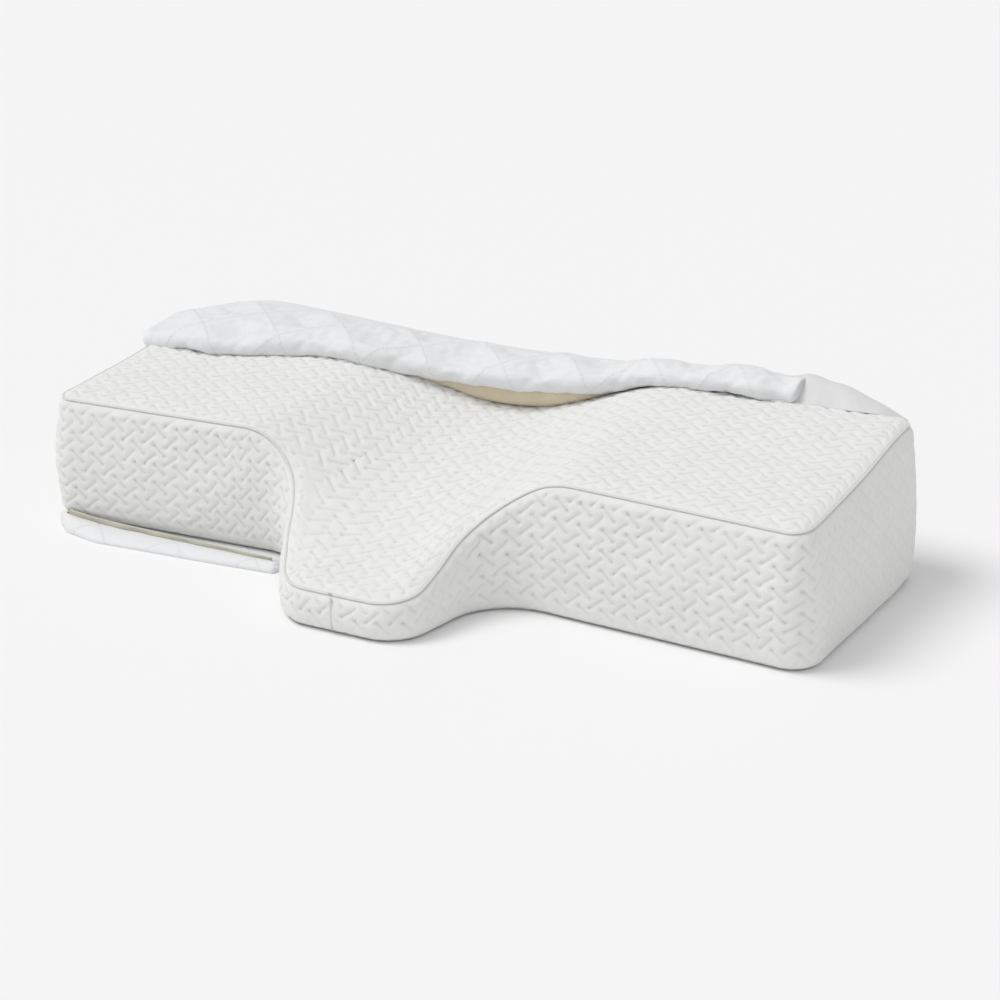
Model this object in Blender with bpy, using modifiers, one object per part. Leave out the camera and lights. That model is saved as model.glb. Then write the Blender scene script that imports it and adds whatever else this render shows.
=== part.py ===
"""Contoured neck pillow: a foam core in a liner and a knit cover, lying in an unzipped quilted cover.

Frame: metres, +X along the length to the user's right, -Y to the front tongue, +Z up.
The origin is on the floor, under the middle of the length.
"""

import math

import bmesh
import bpy
from mathutils import Vector

# ---------------------------------------------------------------- driving dimensions

HALF_LENGTH = 0.310
TIP_Y = -0.155
NOTCH_Y = -0.055
FRONT_Y = -0.068
REAR_Y = 0.142
TIP_HALF_WIDTH = 0.056
ROOT_HALF_WIDTH = 0.070
TIP_RADIUS = 0.026
NOTCH_RADIUS = 0.042
CORNER_RADIUS = 0.024
EDGE_RADIUS = 0.012
END_DRAFT = 0.008

# Heights of the top surface from front to rear, (y, z): down the middle, and over the side blocks.
VALLEY_PROFILE = (
    (-0.155, 0.030), (-0.125, 0.034), (-0.090, 0.042), (-0.055, 0.053),
    (0.000, 0.068), (0.050, 0.080), (0.100, 0.089), (0.142, 0.092),
)
BLOCK_PROFILE = (
    (-0.155, 0.030), (-0.130, 0.040), (-0.107, 0.064), (-0.085, 0.088), (-0.062, 0.098),
    (-0.030, 0.101), (0.037, 0.107), (0.100, 0.116), (0.142, 0.119),
)
SHOULDER_START = 0.010
SHOULDER_END = 0.130

KNIT_THICKNESS = 0.0016
LINER_DEPTH = 0.0044
LINER_THICKNESS = 0.0006
FOAM_DEPTH = 0.0070
SEAM_HALF_GAP = 0.0012
SEAM_RADIUS = 0.0007
GAP = 0.0003

PANEL_THICKNESS = 0.003
PILLOW_LIFT = 0.0036
HEM_CLEARANCE = 0.0005
HEM_ROUND = 0.0034
TONGUE_LEFT_DROP = (-0.086, -0.070)
END_LIFT = (0.090, 0.120)

KNIT_ZIP_Z = 0.051
KNIT_ZIP_HALF_GAP = 0.006
WALL_SHARES = (0.50, 0.66)
REAR_OPENING_HALF = 0.245
BAND_SLIT = 0.0006
KNIT_ZIP_Y = 0.1414
KNIT_COIL_HALF = 0.225
KNIT_SLIDER_X = -0.205
TAPE_THICKNESS = 0.0008
COIL_RADIUS = 0.0009
COIL_GAP = 0.0013
STOP_SIZE = (0.0030, 0.0016, 0.0044)
SLIDER_SIZE = (0.0100, 0.0030, 0.0070)
SLIDER_BEVEL = 0.0008

# The quilted panel under the pillow: past the left block it shows as a lip, elsewhere it stays hidden.
PANEL_OUTLINE = (
    (0.299, 0.1515), (-0.299, 0.1515), (-0.3085, 0.130), (-0.3085, -0.046), (-0.300, -0.072),
    (-0.274, -0.0890), (-0.245, -0.0945), (-0.150, -0.087), (-0.094, -0.082), (-0.090, -0.0475),
    (0.090, -0.0475), (0.200, -0.054), (0.296, -0.056), (0.299, 0.070),
)
BAND_OFFSET = 0.0065
BAND_THICKNESS = 0.003
BAND_BELOW_FLAP = 0.001

HINGE = (0.0, 0.1535, 0.121)
FLAP_LEFT_X = -0.305
FLAP_RIGHT_X = 0.215
FLAP_REAR_Y = 0.150
FLAP_STATIONS = 14
HEM_LEFT_Y = 0.055
HEM_RIGHT_Y = 0.122
HEM_CURVE = 0.75
TUCK_Y = 0.134
FLAP_CLEARANCE = 0.0018
FLAP_LAYER = 0.0045
FLAP_SPACE = 0.0032
FLAP_SAG = 0.012
FLAP_SAG_SPAN = (0.030, 0.200)
LINING_THICKNESS = 0.0008
TAPE_WIDTH = 0.008
TAPE_RISE = 0.0016

CORNER_COVER_X = (0.221, 0.252, 0.284)
CORNER_COVER_OFFSET = 0.0010
CORNER_COVER_THICKNESS = 0.0030
CORNER_COVER_REACH = 0.010
CORNER_COVER_ANGLES = (90.0, 60.0, 30.0, 5.0)

FRONT_TAPE_X = (-0.290, -0.105)
FRONT_TAPE_Y = (-0.0795, -0.0715)
END_TAPE_X = -0.3109
END_TAPE_Y = (-0.028, 0.116)
END_TAPE_Z = (0.0045, 0.0105)
END_COIL_Z = 0.0118
END_SLIDER_START_Y = 0.106
PULL_LENGTH = 0.014
PULL_HALF_WIDTH = 0.0022
PULL_THICKNESS = 0.0008
PULL_EYE_RADIUS = 0.0010
PULL_SETBACK = 0.0015

# Segments along each stretch of the half outline, which has a narrow one at each seam across the band.
TIP_ARC, SIDE_LINE, NOTCH_ARC, FRONT_LINE, HALF_CORNER, END_LINE = 3, 1, 4, 2, 2, 2
FRONT_COUNT = 2 + TIP_ARC + SIDE_LINE + NOTCH_ARC + FRONT_LINE + HALF_CORNER
END_COUNT = 2 * HALF_CORNER + END_LINE
TONGUE_COUNT = 2 + TIP_ARC + SIDE_LINE
SHOULDER_COUNT = FRONT_COUNT - HALF_CORNER - 2 - TONGUE_COUNT

COLOURS = {
    "knit": ((0.86, 0.86, 0.85), 0.85, 0.0),
    "quilt": ((0.84, 0.85, 0.87), 0.80, 0.0),
    "lining": ((0.78, 0.72, 0.60), 0.85, 0.0),
    "liner": ((0.90, 0.90, 0.88), 0.80, 0.0),
    "foam": ((0.92, 0.88, 0.76), 0.90, 0.0),
    "thread": ((0.93, 0.93, 0.92), 0.60, 0.0),
    "tape": ((0.80, 0.78, 0.72), 0.75, 0.0),
    "coil": ((0.85, 0.85, 0.84), 0.35, 0.0),
    "metal": ((0.62, 0.62, 0.64), 0.30, 1.0),
}


# ---------------------------------------------------------------- helpers

def clear_scene():
    for thing in list(bpy.data.objects):
        bpy.data.objects.remove(thing, do_unlink=True)


def collection(name):
    made = bpy.data.collections.new(name)
    bpy.context.scene.collection.children.link(made)
    return made


def material(name, finish):
    colour, roughness, metallic = COLOURS[finish]
    made = bpy.data.materials.new(name)
    made.use_nodes = True
    shader = made.node_tree.nodes["Principled BSDF"]
    shader.inputs["Base Color"].default_value = (*colour, 1.0)
    shader.inputs["Roughness"].default_value = roughness
    shader.inputs["Metallic"].default_value = metallic
    return made


def add_object(name, data, finish, location=(0.0, 0.0, 0.0), parent=None):
    thing = bpy.data.objects.new(name, data)
    PARTS.objects.link(thing)
    thing.location = location
    thing.parent = parent
    data.materials.append(material(name, finish))
    return thing


def mesh_object(name, bm, finish, location=(0.0, 0.0, 0.0), parent=None):
    bmesh.ops.recalc_face_normals(bm, faces=bm.faces)
    mesh = bpy.data.meshes.new(name)
    bm.to_mesh(mesh)
    bm.free()
    mesh.shade_smooth()
    mesh.set_sharp_from_angle(angle=math.radians(40.0))
    return add_object(name, mesh, finish, location, parent)


def empty(name, location, parent=None):
    thing = bpy.data.objects.new(name, None)
    PARTS.objects.link(thing)
    thing.location = location
    thing.parent = parent
    return thing


def smoothstep(value, low, high):
    t = min(max((value - low) / (high - low), 0.0), 1.0)
    return t * t * (3.0 - 2.0 * t)


def mix(a, b, t):
    return a + (b - a) * t


def profile(points, y):
    """Height at y on a smooth curve through points, flat past either end."""
    if y <= points[0][0]:
        return points[0][1]
    for i in range(len(points) - 1):
        (y1, z1), (y2, z2) = points[i], points[i + 1]
        if y <= y2:
            before = points[max(i - 1, 0)]
            after = points[min(i + 2, len(points) - 1)]
            slope1 = (z2 - before[1]) / (y2 - before[0])
            slope2 = (after[1] - z1) / (after[0] - y1)
            step = y2 - y1
            t = (y - y1) / step
            return (
                z1 * (1 + 2 * t) * (1 - t) ** 2
                + step * slope1 * t * (1 - t) ** 2
                + z2 * t * t * (3 - 2 * t)
                + step * slope2 * t * t * (t - 1)
            )
    return points[-1][1]


def top_height(x, y):
    """The pillow's top surface before its edge is rounded."""
    share = smoothstep(abs(x), SHOULDER_START, SHOULDER_END)
    return mix(profile(VALLEY_PROFILE, y), profile(BLOCK_PROFILE, y), share)


# ---------------------------------------------------------------- outline

def fillet(before, corner, after, radius, count):
    """Points and outward normals on the arc that rounds a corner of a loop that runs anticlockwise."""
    into = (Vector(corner) - Vector(before)).normalized()
    out = (Vector(after) - Vector(corner)).normalized()
    turn = math.atan2(into.x * out.y - into.y * out.x, into.dot(out))
    start = Vector(corner) - into * radius * math.tan(abs(turn) / 2)
    side = math.copysign(1.0, turn)
    centre = start + Vector((-into.y, into.x)) * radius * side
    first = math.atan2(start.y - centre.y, start.x - centre.x)
    found = []
    for i in range(count + 1):
        angle = first + turn * i / count
        spoke = Vector((math.cos(angle), math.sin(angle)))
        found.append((centre + spoke * radius, spoke * side))
    return found


def run(start, end, count):
    """The points after start and before end on a straight stretch."""
    return [
        (start[0].lerp(end[0], i / count), start[1].lerp(end[1], i / count).normalized())
        for i in range(1, count)
    ]


def half_outline():
    """Points and outward normals of the right half, from the tongue's tip round to the rear centre."""
    tip, rear = (0.0, TIP_Y), (0.0, REAR_Y)
    corners = (
        ((TIP_HALF_WIDTH, TIP_Y), TIP_RADIUS, TIP_ARC),
        ((ROOT_HALF_WIDTH, NOTCH_Y), NOTCH_RADIUS, NOTCH_ARC),
        ((HALF_LENGTH, FRONT_Y), CORNER_RADIUS, 2 * HALF_CORNER),
        ((HALF_LENGTH, REAR_Y), CORNER_RADIUS, 2 * HALF_CORNER),
    )
    places = [tip] + [corner[0] for corner in corners] + [rear]
    lines = (1, SIDE_LINE, FRONT_LINE, END_LINE)
    forward, back = Vector((0.0, -1.0)), Vector((0.0, 1.0))
    found = [(Vector((x, TIP_Y)), forward) for x in (0.0, SEAM_HALF_GAP)]
    for i, (place, radius, count) in enumerate(corners):
        arc = fillet(places[i], place, places[i + 2], radius, count)
        found += run(found[-1], arc[0], lines[i]) + arc
    found += [(Vector((REAR_OPENING_HALF + slit, REAR_Y)), back) for slit in (BAND_SLIT, 0.0)]
    behind_root = (Vector((ROOT_HALF_WIDTH, REAR_Y)), back)
    last = (Vector(rear), back)
    found += run(found[-1], behind_root, SHOULDER_COUNT) + [behind_root]
    return found + run(behind_root, last, TONGUE_COUNT) + [last]


OUTLINE = half_outline()


def rim_point(place, normal, inset, height):
    """A point of the wall or edge: inset from the outline, with the ends leaning in as they rise."""
    lean = END_DRAFT * normal.x ** 2 * height / BLOCK_PROFILE[-1][1]
    moved = place - normal * (inset + lean)
    return Vector((max(moved.x, 0.0), moved.y, height))


def hem_height(place):
    """Height of the knit band's lower edge: on the floor at the tongue and right front, else on the panel."""
    left = smoothstep(-place.x, -TONGUE_LEFT_DROP[1], -TONGUE_LEFT_DROP[0])
    rear = smoothstep(place.y, *END_LIFT)
    return mix(HEM_CLEARANCE, PILLOW_LIFT, max(left, rear))


def wall_rows(place, normal, depth=0.0):
    """The rows of one column of a skin, top to bottom, as (inset, height).

    The knit's outer skin has depth 0. A skin inside it lies depth below it, and has a level foot.
    """
    inside = place - normal * EDGE_RADIUS
    centre = top_height(inside.x, inside.y) - EDGE_RADIUS
    radius = EDGE_RADIUS - depth
    edge = [
        (EDGE_RADIUS - radius * math.cos(angle), centre + radius * math.sin(angle))
        for angle in EDGE_ANGLES
    ]
    seam = edge[-1][1]
    foot = PILLOW_LIFT + depth
    base = foot if depth else hem_height(place)
    hem = base + HEM_ROUND
    zip_high = min(KNIT_ZIP_Z + KNIT_ZIP_HALF_GAP, mix(hem, seam, WALL_SHARES[1]))
    zip_low = min(KNIT_ZIP_Z - KNIT_ZIP_HALF_GAP, mix(hem, seam, WALL_SHARES[0]))
    wall = (
        (depth, zip_high),
        (depth, zip_low),
        (depth, hem),
        (HEM_ROUND + depth, base),
        (2 * HEM_ROUND + depth, foot),
    )
    return [*edge, *wall]


SEAM_ANGLE = math.radians(45.0)
SEAM_SPREAD = SEAM_HALF_GAP / EDGE_RADIUS
EDGE_ANGLES = (math.radians(90.0), math.radians(66.0), SEAM_ANGLE + SEAM_SPREAD, SEAM_ANGLE - SEAM_SPREAD)
# Rows of faces between the rows of points. Row 2 is the top seam's gap, and row 6 the bottom seam's.
TOP_ROWS, WALL_ROWS, ZIP_ROW, FOOT_ROW = (0, 1), (3, 4, 5), 4, 7
ROW_COUNT = 9


# ---------------------------------------------------------------- the pillow's skin

def grid_rim(side, depth):
    """The innermost ring of one side (top or bottom): front row, end column and rear row."""
    row = 0 if side == "top" else ROW_COUNT - 1
    ring = []
    for place, normal in OUTLINE:
        inset, height = wall_rows(place, normal, depth)[row]
        ring.append(rim_point(place, normal, inset, height))
    front = ring[: FRONT_COUNT + 1]
    end = ring[FRONT_COUNT: FRONT_COUNT + END_COUNT + 1]
    rear = ring[FRONT_COUNT + END_COUNT:][::-1]
    return front, end, rear


def inner_grid(side, depth):
    """Points of the top or bottom inside its innermost ring, blended from the ring's four sides."""
    front, end, rear = grid_rim(side, depth)
    rows = []
    for j in range(END_COUNT + 1):
        v = j / END_COUNT
        middle = front[0].lerp(rear[0], v)
        row = []
        for i in range(FRONT_COUNT + 1):
            u = i / FRONT_COUNT
            ruled = front[i].lerp(rear[i], v) + middle.lerp(end[j], u)
            corner = front[0].lerp(front[-1], u).lerp(rear[0].lerp(rear[-1], u), v)
            point = ruled - corner
            on_rim = i == FRONT_COUNT or j in (0, END_COUNT)
            if side == "top" and not on_rim:
                point.z = top_height(point.x, point.y) - depth
            row.append(point)
        rows.append(row)
    return rows


def skin(depth=0.0):
    """The pillow's surface at this depth as one closed mesh, each face tagged with its row or side."""
    bm = bmesh.new()
    tag = bm.faces.layers.string.new("tag")
    for mirror in (1.0, -1.0):
        columns = []
        for place, normal in OUTLINE:
            own = Vector((place.x * mirror, place.y))
            facing = Vector((normal.x * mirror, normal.y))
            column = []
            for inset, height in wall_rows(own, facing, depth):
                point = rim_point(place, normal, inset, height)
                column.append(bm.verts.new((point.x * mirror, point.y, point.z)))
            columns.append(column)
        for i in range(len(columns) - 1):
            for row in range(ROW_COUNT - 1):
                corners = (
                    columns[i][row], columns[i + 1][row], columns[i + 1][row + 1], columns[i][row + 1],
                )
                face = bm.faces.new(corners if mirror > 0 else corners[::-1])
                face[tag] = f"row{row}".encode()
        for side in ("top", "bottom"):
            grid = [
                [bm.verts.new((point.x * mirror, point.y, point.z)) for point in row]
                for row in inner_grid(side, depth)
            ]
            for j in range(END_COUNT):
                for i in range(FRONT_COUNT):
                    face = bm.faces.new((grid[j][i], grid[j][i + 1], grid[j + 1][i + 1], grid[j + 1][i]))
                    face[tag] = side.encode()
    bmesh.ops.remove_doubles(bm, verts=bm.verts, dist=1e-5)
    bmesh.ops.recalc_face_normals(bm, faces=bm.faces)
    return bm, tag


def is_rear_opening(face):
    """True for the faces of the rear wall between the side bands."""
    middle = face.calc_center_median()
    return abs(middle.x) < REAR_OPENING_HALF and middle.y > REAR_Y - EDGE_RADIUS - FOAM_DEPTH


def is_band_seam(face):
    """True for the narrow faces where two bands meet: at the tongue's tip and either side of the rear."""
    middle = face.calc_center_median()
    at_tip = abs(middle.x) < SEAM_HALF_GAP and middle.y < NOTCH_Y
    beside_rear = 0.0 < abs(middle.x) - REAR_OPENING_HALF < BAND_SLIT and middle.y > NOTCH_Y
    return at_tip or beside_rear


def skin_piece(name, keep, finish, depth=0.0, thickness=KNIT_THICKNESS):
    """A shell cut from a skin: the faces that keep(tag, face) accepts, given a thickness inwards."""
    bm, tag = skin(depth)
    lost = [face for face in bm.faces if not keep(face[tag].decode(), face)]
    bmesh.ops.delete(bm, geom=lost, context="FACES")
    mesh = bpy.data.meshes.new(name)
    bm.to_mesh(mesh)
    bm.free()
    mesh.shade_smooth()
    piece = add_object(name, mesh, finish)
    thicken(piece, thickness)
    return piece


def thicken(piece, thickness, offset=-1.0):
    solid = piece.modifiers.new("thickness", "SOLIDIFY")
    solid.thickness = thickness
    solid.offset = offset


def make_knit_cover():
    top = {"top"} | {f"row{row}" for row in TOP_ROWS}
    wall = {f"row{row}" for row in WALL_ROWS}
    above, below = f"row{WALL_ROWS[0]}", f"row{WALL_ROWS[-1]}"
    skin_piece("knit_top_panel", lambda tag, face: tag in top, "knit")
    skin_piece("knit_bottom_panel", lambda tag, face: tag in ("bottom", f"row{FOOT_ROW}"), "knit")
    for name, side in (("knit_side_band_right", 1.0), ("knit_side_band_left", -1.0)):
        skin_piece(
            name,
            lambda tag, face, side=side: tag in wall
            and not is_rear_opening(face)
            and not is_band_seam(face)
            and face.calc_center_median().x * side > 0,
            "knit",
        )
    skin_piece("knit_rear_band_upper", lambda tag, face: tag == above and is_rear_opening(face), "knit")
    skin_piece("knit_rear_band_lower", lambda tag, face: tag == below and is_rear_opening(face), "knit")


def make_core():
    skin_piece(
        "inner_liner",
        lambda tag, face: not (tag == f"row{ZIP_ROW}" and is_rear_opening(face)),
        "liner",
        depth=LINER_DEPTH,
        thickness=LINER_THICKNESS,
    )
    bm, _ = skin(FOAM_DEPTH)
    mesh_object("foam_core", bm, "foam")


# ---------------------------------------------------------------- seams and zips

def tube(name, points, radius, finish, cyclic=False, parent=None):
    """A thread or coil along straight stretches between points."""
    data = bpy.data.curves.new(name, "CURVE")
    data.dimensions = "3D"
    data.bevel_depth = radius
    data.bevel_resolution = 0
    data.use_fill_caps = True
    spline = data.splines.new("POLY")
    spline.points.add(len(points) - 1)
    for control, point in zip(spline.points, points):
        control.co = (*point, 1.0)
    spline.use_cyclic_u = cyclic
    return add_object(name, data, finish, parent=parent)


def rim_loop(rule):
    """A closed loop round the pillow: rule(place, normal) gives each point's (inset, height)."""
    half = []
    for side in (1.0, -1.0):
        points = []
        for place, normal in OUTLINE:
            own = Vector((place.x * side, place.y))
            facing = Vector((normal.x * side, normal.y))
            point = rim_point(place, normal, *rule(own, facing))
            points.append((point.x * side, point.y, point.z))
        half.append(points)
    right, left = half
    return right + left[::-1][1:-1]


def top_seam_rule(place, normal):
    inside = place - normal * EDGE_RADIUS
    centre = top_height(inside.x, inside.y) - EDGE_RADIUS
    return EDGE_RADIUS * (1 - math.cos(SEAM_ANGLE)), centre + EDGE_RADIUS * math.sin(SEAM_ANGLE)


def hem_seam_rule(place, normal):
    return 0.4 * HEM_ROUND, hem_height(place) + 0.4 * HEM_ROUND


def make_seams():
    tube("knit_top_seam", rim_loop(top_seam_rule), SEAM_RADIUS, "thread", cyclic=True)
    tube("knit_bottom_seam", rim_loop(hem_seam_rule), SEAM_RADIUS, "thread", cyclic=True)
    place, normal = OUTLINE[0]
    foot = hem_seam_rule(place, normal)[1] + 3 * SEAM_HALF_GAP
    head = top_seam_rule(place, normal)[1] - 2 * SEAM_HALF_GAP
    tip_y = TIP_Y + SEAM_RADIUS
    tube("tongue_tip_seam", ((0.0, tip_y, foot), (0.0, tip_y, head)), SEAM_RADIUS, "thread")


def box_mesh(bm, low, high):
    size = [b - a for a, b in zip(low, high)]
    middle = [(a + b) / 2 for a, b in zip(low, high)]
    made = bmesh.ops.create_cube(bm, size=1.0)["verts"]
    bmesh.ops.scale(bm, vec=size, verts=made)
    bmesh.ops.translate(bm, vec=middle, verts=made)


def boxes(name, corners, finish, parent=None, bevel=0.0):
    bm = bmesh.new()
    for low, high in corners:
        box_mesh(bm, low, high)
    piece = mesh_object(name, bm, finish, parent=parent)
    if bevel:
        edge = piece.modifiers.new("edges", "BEVEL")
        edge.width = bevel
        edge.segments = 1
    return piece


def around(middle, size):
    return [m - s / 2 for m, s in zip(middle, size)], [m + s / 2 for m, s in zip(middle, size)]


def make_knit_zip():
    reach = REAR_OPENING_HALF - BAND_SLIT
    low, high = KNIT_ZIP_Z - KNIT_ZIP_HALF_GAP + GAP, KNIT_ZIP_Z + KNIT_ZIP_HALF_GAP - GAP
    inner, outer = KNIT_ZIP_Y - TAPE_THICKNESS / 2, KNIT_ZIP_Y + TAPE_THICKNESS / 2
    for name, bottom, top in (
        ("knit_zip_tape_upper", KNIT_ZIP_Z + COIL_GAP, high),
        ("knit_zip_tape_lower", low, KNIT_ZIP_Z - COIL_GAP),
    ):
        boxes(name, [((-reach, inner, bottom), (reach, outer, top))], "tape")
    ends = [(side * KNIT_COIL_HALF, KNIT_ZIP_Y, KNIT_ZIP_Z) for side in (-1, 1)]
    tube("knit_zip_coil", ends, COIL_RADIUS, "coil")
    stop_y = outer + GAP + STOP_SIZE[1] / 2
    for name, side in (("knit_zip_stop_left", -1), ("knit_zip_stop_right", 1)):
        stop_x = side * (KNIT_COIL_HALF + STOP_SIZE[0])
        boxes(name, [around((stop_x, stop_y, KNIT_ZIP_Z), STOP_SIZE)], "metal")
    slider_y = KNIT_ZIP_Y + COIL_RADIUS + GAP + SLIDER_SIZE[1] / 2
    runner = empty("knit_zip_runner", (KNIT_SLIDER_X, slider_y, KNIT_ZIP_Z))
    body = around((0, 0, 0), SLIDER_SIZE)
    boxes("knit_zip_slider", [body], "metal", parent=runner, bevel=SLIDER_BEVEL)


# ---------------------------------------------------------------- the quilted cover

def quilt_bottom_panel():
    data = bpy.data.curves.new("quilt_bottom_panel", "CURVE")
    data.dimensions = "2D"
    data.fill_mode = "BOTH"
    data.extrude = PANEL_THICKNESS / 2
    spline = data.splines.new("POLY")
    spline.points.add(len(PANEL_OUTLINE) - 1)
    for control, (x, y) in zip(spline.points, PANEL_OUTLINE):
        control.co = (x, y, 0.0, 1.0)
    spline.use_cyclic_u = True
    add_object("quilt_bottom_panel", data, "quilt", location=(0.0, 0.0, PANEL_THICKNESS / 2))


def flap_floor(x, y):
    """Lowest surface of the folded flap: on the blocks' knit, and hanging between them over the valley."""
    y = min(y, REAR_Y)
    sag = FLAP_SAG * (1.0 - smoothstep(abs(x), *FLAP_SAG_SPAN))
    return max(top_height(x, y), profile(BLOCK_PROFILE, y) - sag) + FLAP_CLEARANCE


def hem_y(x):
    share = (x - FLAP_LEFT_X) / (FLAP_RIGHT_X - FLAP_LEFT_X)
    return mix(HEM_LEFT_Y, HEM_RIGHT_Y, min(max(share, 0.0), 1.0) ** HEM_CURVE)


def quilt_rear_band():
    """A wall behind the pillow, between its rear corners."""
    first = FRONT_COUNT + END_COUNT + HALF_CORNER
    rear = OUTLINE[first:]
    bm = bmesh.new()
    for side in (1.0, -1.0):
        columns = []
        for place, normal in rear:
            offset = BAND_OFFSET * normal.y ** 4 + 2 * GAP
            at = place + normal * offset
            top = flap_floor(at.x * side, at.y) - BAND_BELOW_FLAP
            rows = (PANEL_THICKNESS + GAP, top / 2, top)
            columns.append([bm.verts.new((at.x * side, at.y, z)) for z in rows])
        for a, b in zip(columns, columns[1:]):
            for low in (0, 1):
                corners = (a[low], b[low], b[low + 1], a[low + 1])
                bm.faces.new(corners if side > 0 else corners[::-1])
    bmesh.ops.remove_doubles(bm, verts=bm.verts, dist=1e-5)
    band = mesh_object("quilt_rear_band", bm, "quilt")
    thicken(band, BAND_THICKNESS, offset=1.0)


def stations(count):
    return [mix(FLAP_LEFT_X, FLAP_RIGHT_X, i / count) for i in range(count + 1)]


def hinged(x, y, z):
    """A point in the flap's own frame, whose origin is on the hinge."""
    return x - HINGE[0], y - HINGE[1], z - HINGE[2]


def flap_section(x):
    """The folded panel's outline at x as (y, height above the floor): over, round the hem and back."""
    height = 2 * FLAP_LAYER + FLAP_SPACE
    radius = height / 2
    hem = hem_y(x)
    fold = hem + radius
    over = mix(FLAP_REAR_Y, fold, 0.5)
    under = mix(TUCK_Y, fold, 0.5)
    nose = [
        (fold - radius * math.sin(angle), radius + radius * math.cos(angle))
        for angle in (math.radians(45.0), math.radians(90.0), math.radians(135.0))
    ]
    upper = height - FLAP_LAYER
    return [
        (FLAP_REAR_Y, height), (over, height), (fold, height), *nose, (fold, 0.0), (under, 0.0),
        (TUCK_Y, 0.0), (TUCK_Y, FLAP_LAYER), (under, FLAP_LAYER), (fold, FLAP_LAYER),
        (fold - FLAP_SPACE / 2, radius), (fold, upper), (over, upper), (FLAP_REAR_Y, upper),
    ]


def loft(bm, sections):
    """Joins closed sections of equal length into one body with flat ends."""
    rings = [[bm.verts.new(point) for point in section] for section in sections]
    count = len(rings[0])
    for a, b in zip(rings, rings[1:]):
        for i in range(count):
            j = (i + 1) % count
            bm.faces.new((a[i], a[j], b[j], b[i]))
    bm.faces.new(rings[0])
    bm.faces.new(rings[-1][::-1])


def flap_strip(name, lines, finish, parent, thickness):
    """A thin strip under the flap: lines(x) gives its (y, height above the floor) points at x."""
    bm = bmesh.new()
    rows = []
    for x in stations(FLAP_STATIONS):
        rows.append([bm.verts.new(hinged(x, y, flap_floor(x, y) + rise)) for y, rise in lines(x)])
    for a, b in zip(rows, rows[1:]):
        for i in range(len(a) - 1):
            bm.faces.new((a[i], b[i], b[i + 1], a[i + 1]))
    thicken(mesh_object(name, bm, finish, parent=parent), thickness, offset=0.0)


def make_flap():
    hinge = empty("flap_hinge", HINGE)
    bm = bmesh.new()
    loft(bm, [
        [hinged(x, y, flap_floor(x, y) + rise) for y, rise in flap_section(x)]
        for x in stations(FLAP_STATIONS)
    ])
    mesh_object("quilt_top_panel", bm, "quilt", parent=hinge)

    under_top = FLAP_LAYER + FLAP_SPACE - GAP - LINING_THICKNESS
    half_height = FLAP_LAYER + FLAP_SPACE / 2

    def lining_lines(x):
        fold = hem_y(x) + half_height
        return (fold, under_top), (mix(fold, FLAP_REAR_Y, 0.5), under_top), (FLAP_REAR_Y - 0.001, under_top)

    def tape_lines(_):
        start = TUCK_Y + GAP
        return (start, TAPE_RISE), (start + TAPE_WIDTH, TAPE_RISE)

    flap_strip("flap_lining", lining_lines, "lining", hinge, LINING_THICKNESS)
    flap_strip("cover_zip_tape_upper", tape_lines, "tape", hinge, TAPE_THICKNESS)
    coil_y = TUCK_Y + TAPE_WIDTH + 2 * GAP + COIL_RADIUS
    line = [hinged(x, coil_y, flap_floor(x, coil_y) + TAPE_RISE) for x in stations(FLAP_STATIONS)]
    tube("cover_zip_coil_upper", line, COIL_RADIUS, "coil", parent=hinge)


def cover_corner_right():
    """The cover's end strip, folded over the pillow's right rear edge."""
    bm = bmesh.new()
    rows = []
    radius = EDGE_RADIUS + CORNER_COVER_OFFSET
    for x in CORNER_COVER_X:
        centre = top_height(x, REAR_Y) - EDGE_RADIUS
        section = [(REAR_Y - EDGE_RADIUS - CORNER_COVER_REACH, centre + radius)]
        for angle in CORNER_COVER_ANGLES:
            turn = math.radians(angle)
            behind = REAR_Y - EDGE_RADIUS + radius * math.cos(turn)
            section.append((behind, centre + radius * math.sin(turn)))
        rows.append([bm.verts.new((x, y, z)) for y, z in section])
    for a, b in zip(rows, rows[1:]):
        for i in range(len(a) - 1):
            bm.faces.new((a[i], b[i], b[i + 1], a[i + 1]))
    thicken(mesh_object("cover_corner_right", bm, "quilt"), CORNER_COVER_THICKNESS, offset=1.0)


def make_cover_zip():
    floor = PANEL_THICKNESS + GAP
    front = (
        (FRONT_TAPE_X[0], FRONT_TAPE_Y[0], floor),
        (FRONT_TAPE_X[1], FRONT_TAPE_Y[1], floor + TAPE_THICKNESS),
    )
    boxes("cover_zip_tape_front", [front], "tape")
    half = TAPE_THICKNESS / 2
    end = (
        (END_TAPE_X - half, END_TAPE_Y[0], END_TAPE_Z[0]),
        (END_TAPE_X + half, END_TAPE_Y[1], END_TAPE_Z[1]),
    )
    boxes("cover_zip_tape_end", [end], "tape")
    tube("cover_zip_coil_end", [(END_TAPE_X, y, END_COIL_Z) for y in END_TAPE_Y], COIL_RADIUS, "coil")
    width, depth, height = STOP_SIZE
    stop_x = END_TAPE_X - half - GAP - depth / 2
    for name, stop_y in (
        ("cover_zip_stop_front", END_TAPE_Y[0] + width / 2),
        ("cover_zip_stop_rear", END_TAPE_Y[1] - width / 2),
    ):
        middle = (stop_x, stop_y, END_TAPE_Z[1] - height / 2)
        boxes(name, [around(middle, (depth, width, height))], "metal")
    length, depth, height = SLIDER_SIZE
    slider_x = END_TAPE_X - COIL_RADIUS - GAP - depth / 2
    runner = empty("cover_zip_runner", (slider_x, END_SLIDER_START_Y, END_COIL_Z))
    body = around((0, 0, 0), (depth, length, height))
    boxes("cover_zip_slider", [body], "metal", parent=runner, bevel=SLIDER_BEVEL)
    pivot = empty("pull_pivot", (-depth / 2 - 2 * GAP, PULL_SETBACK - length / 2, 0.0), parent=runner)
    pull_tab(pivot)


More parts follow.
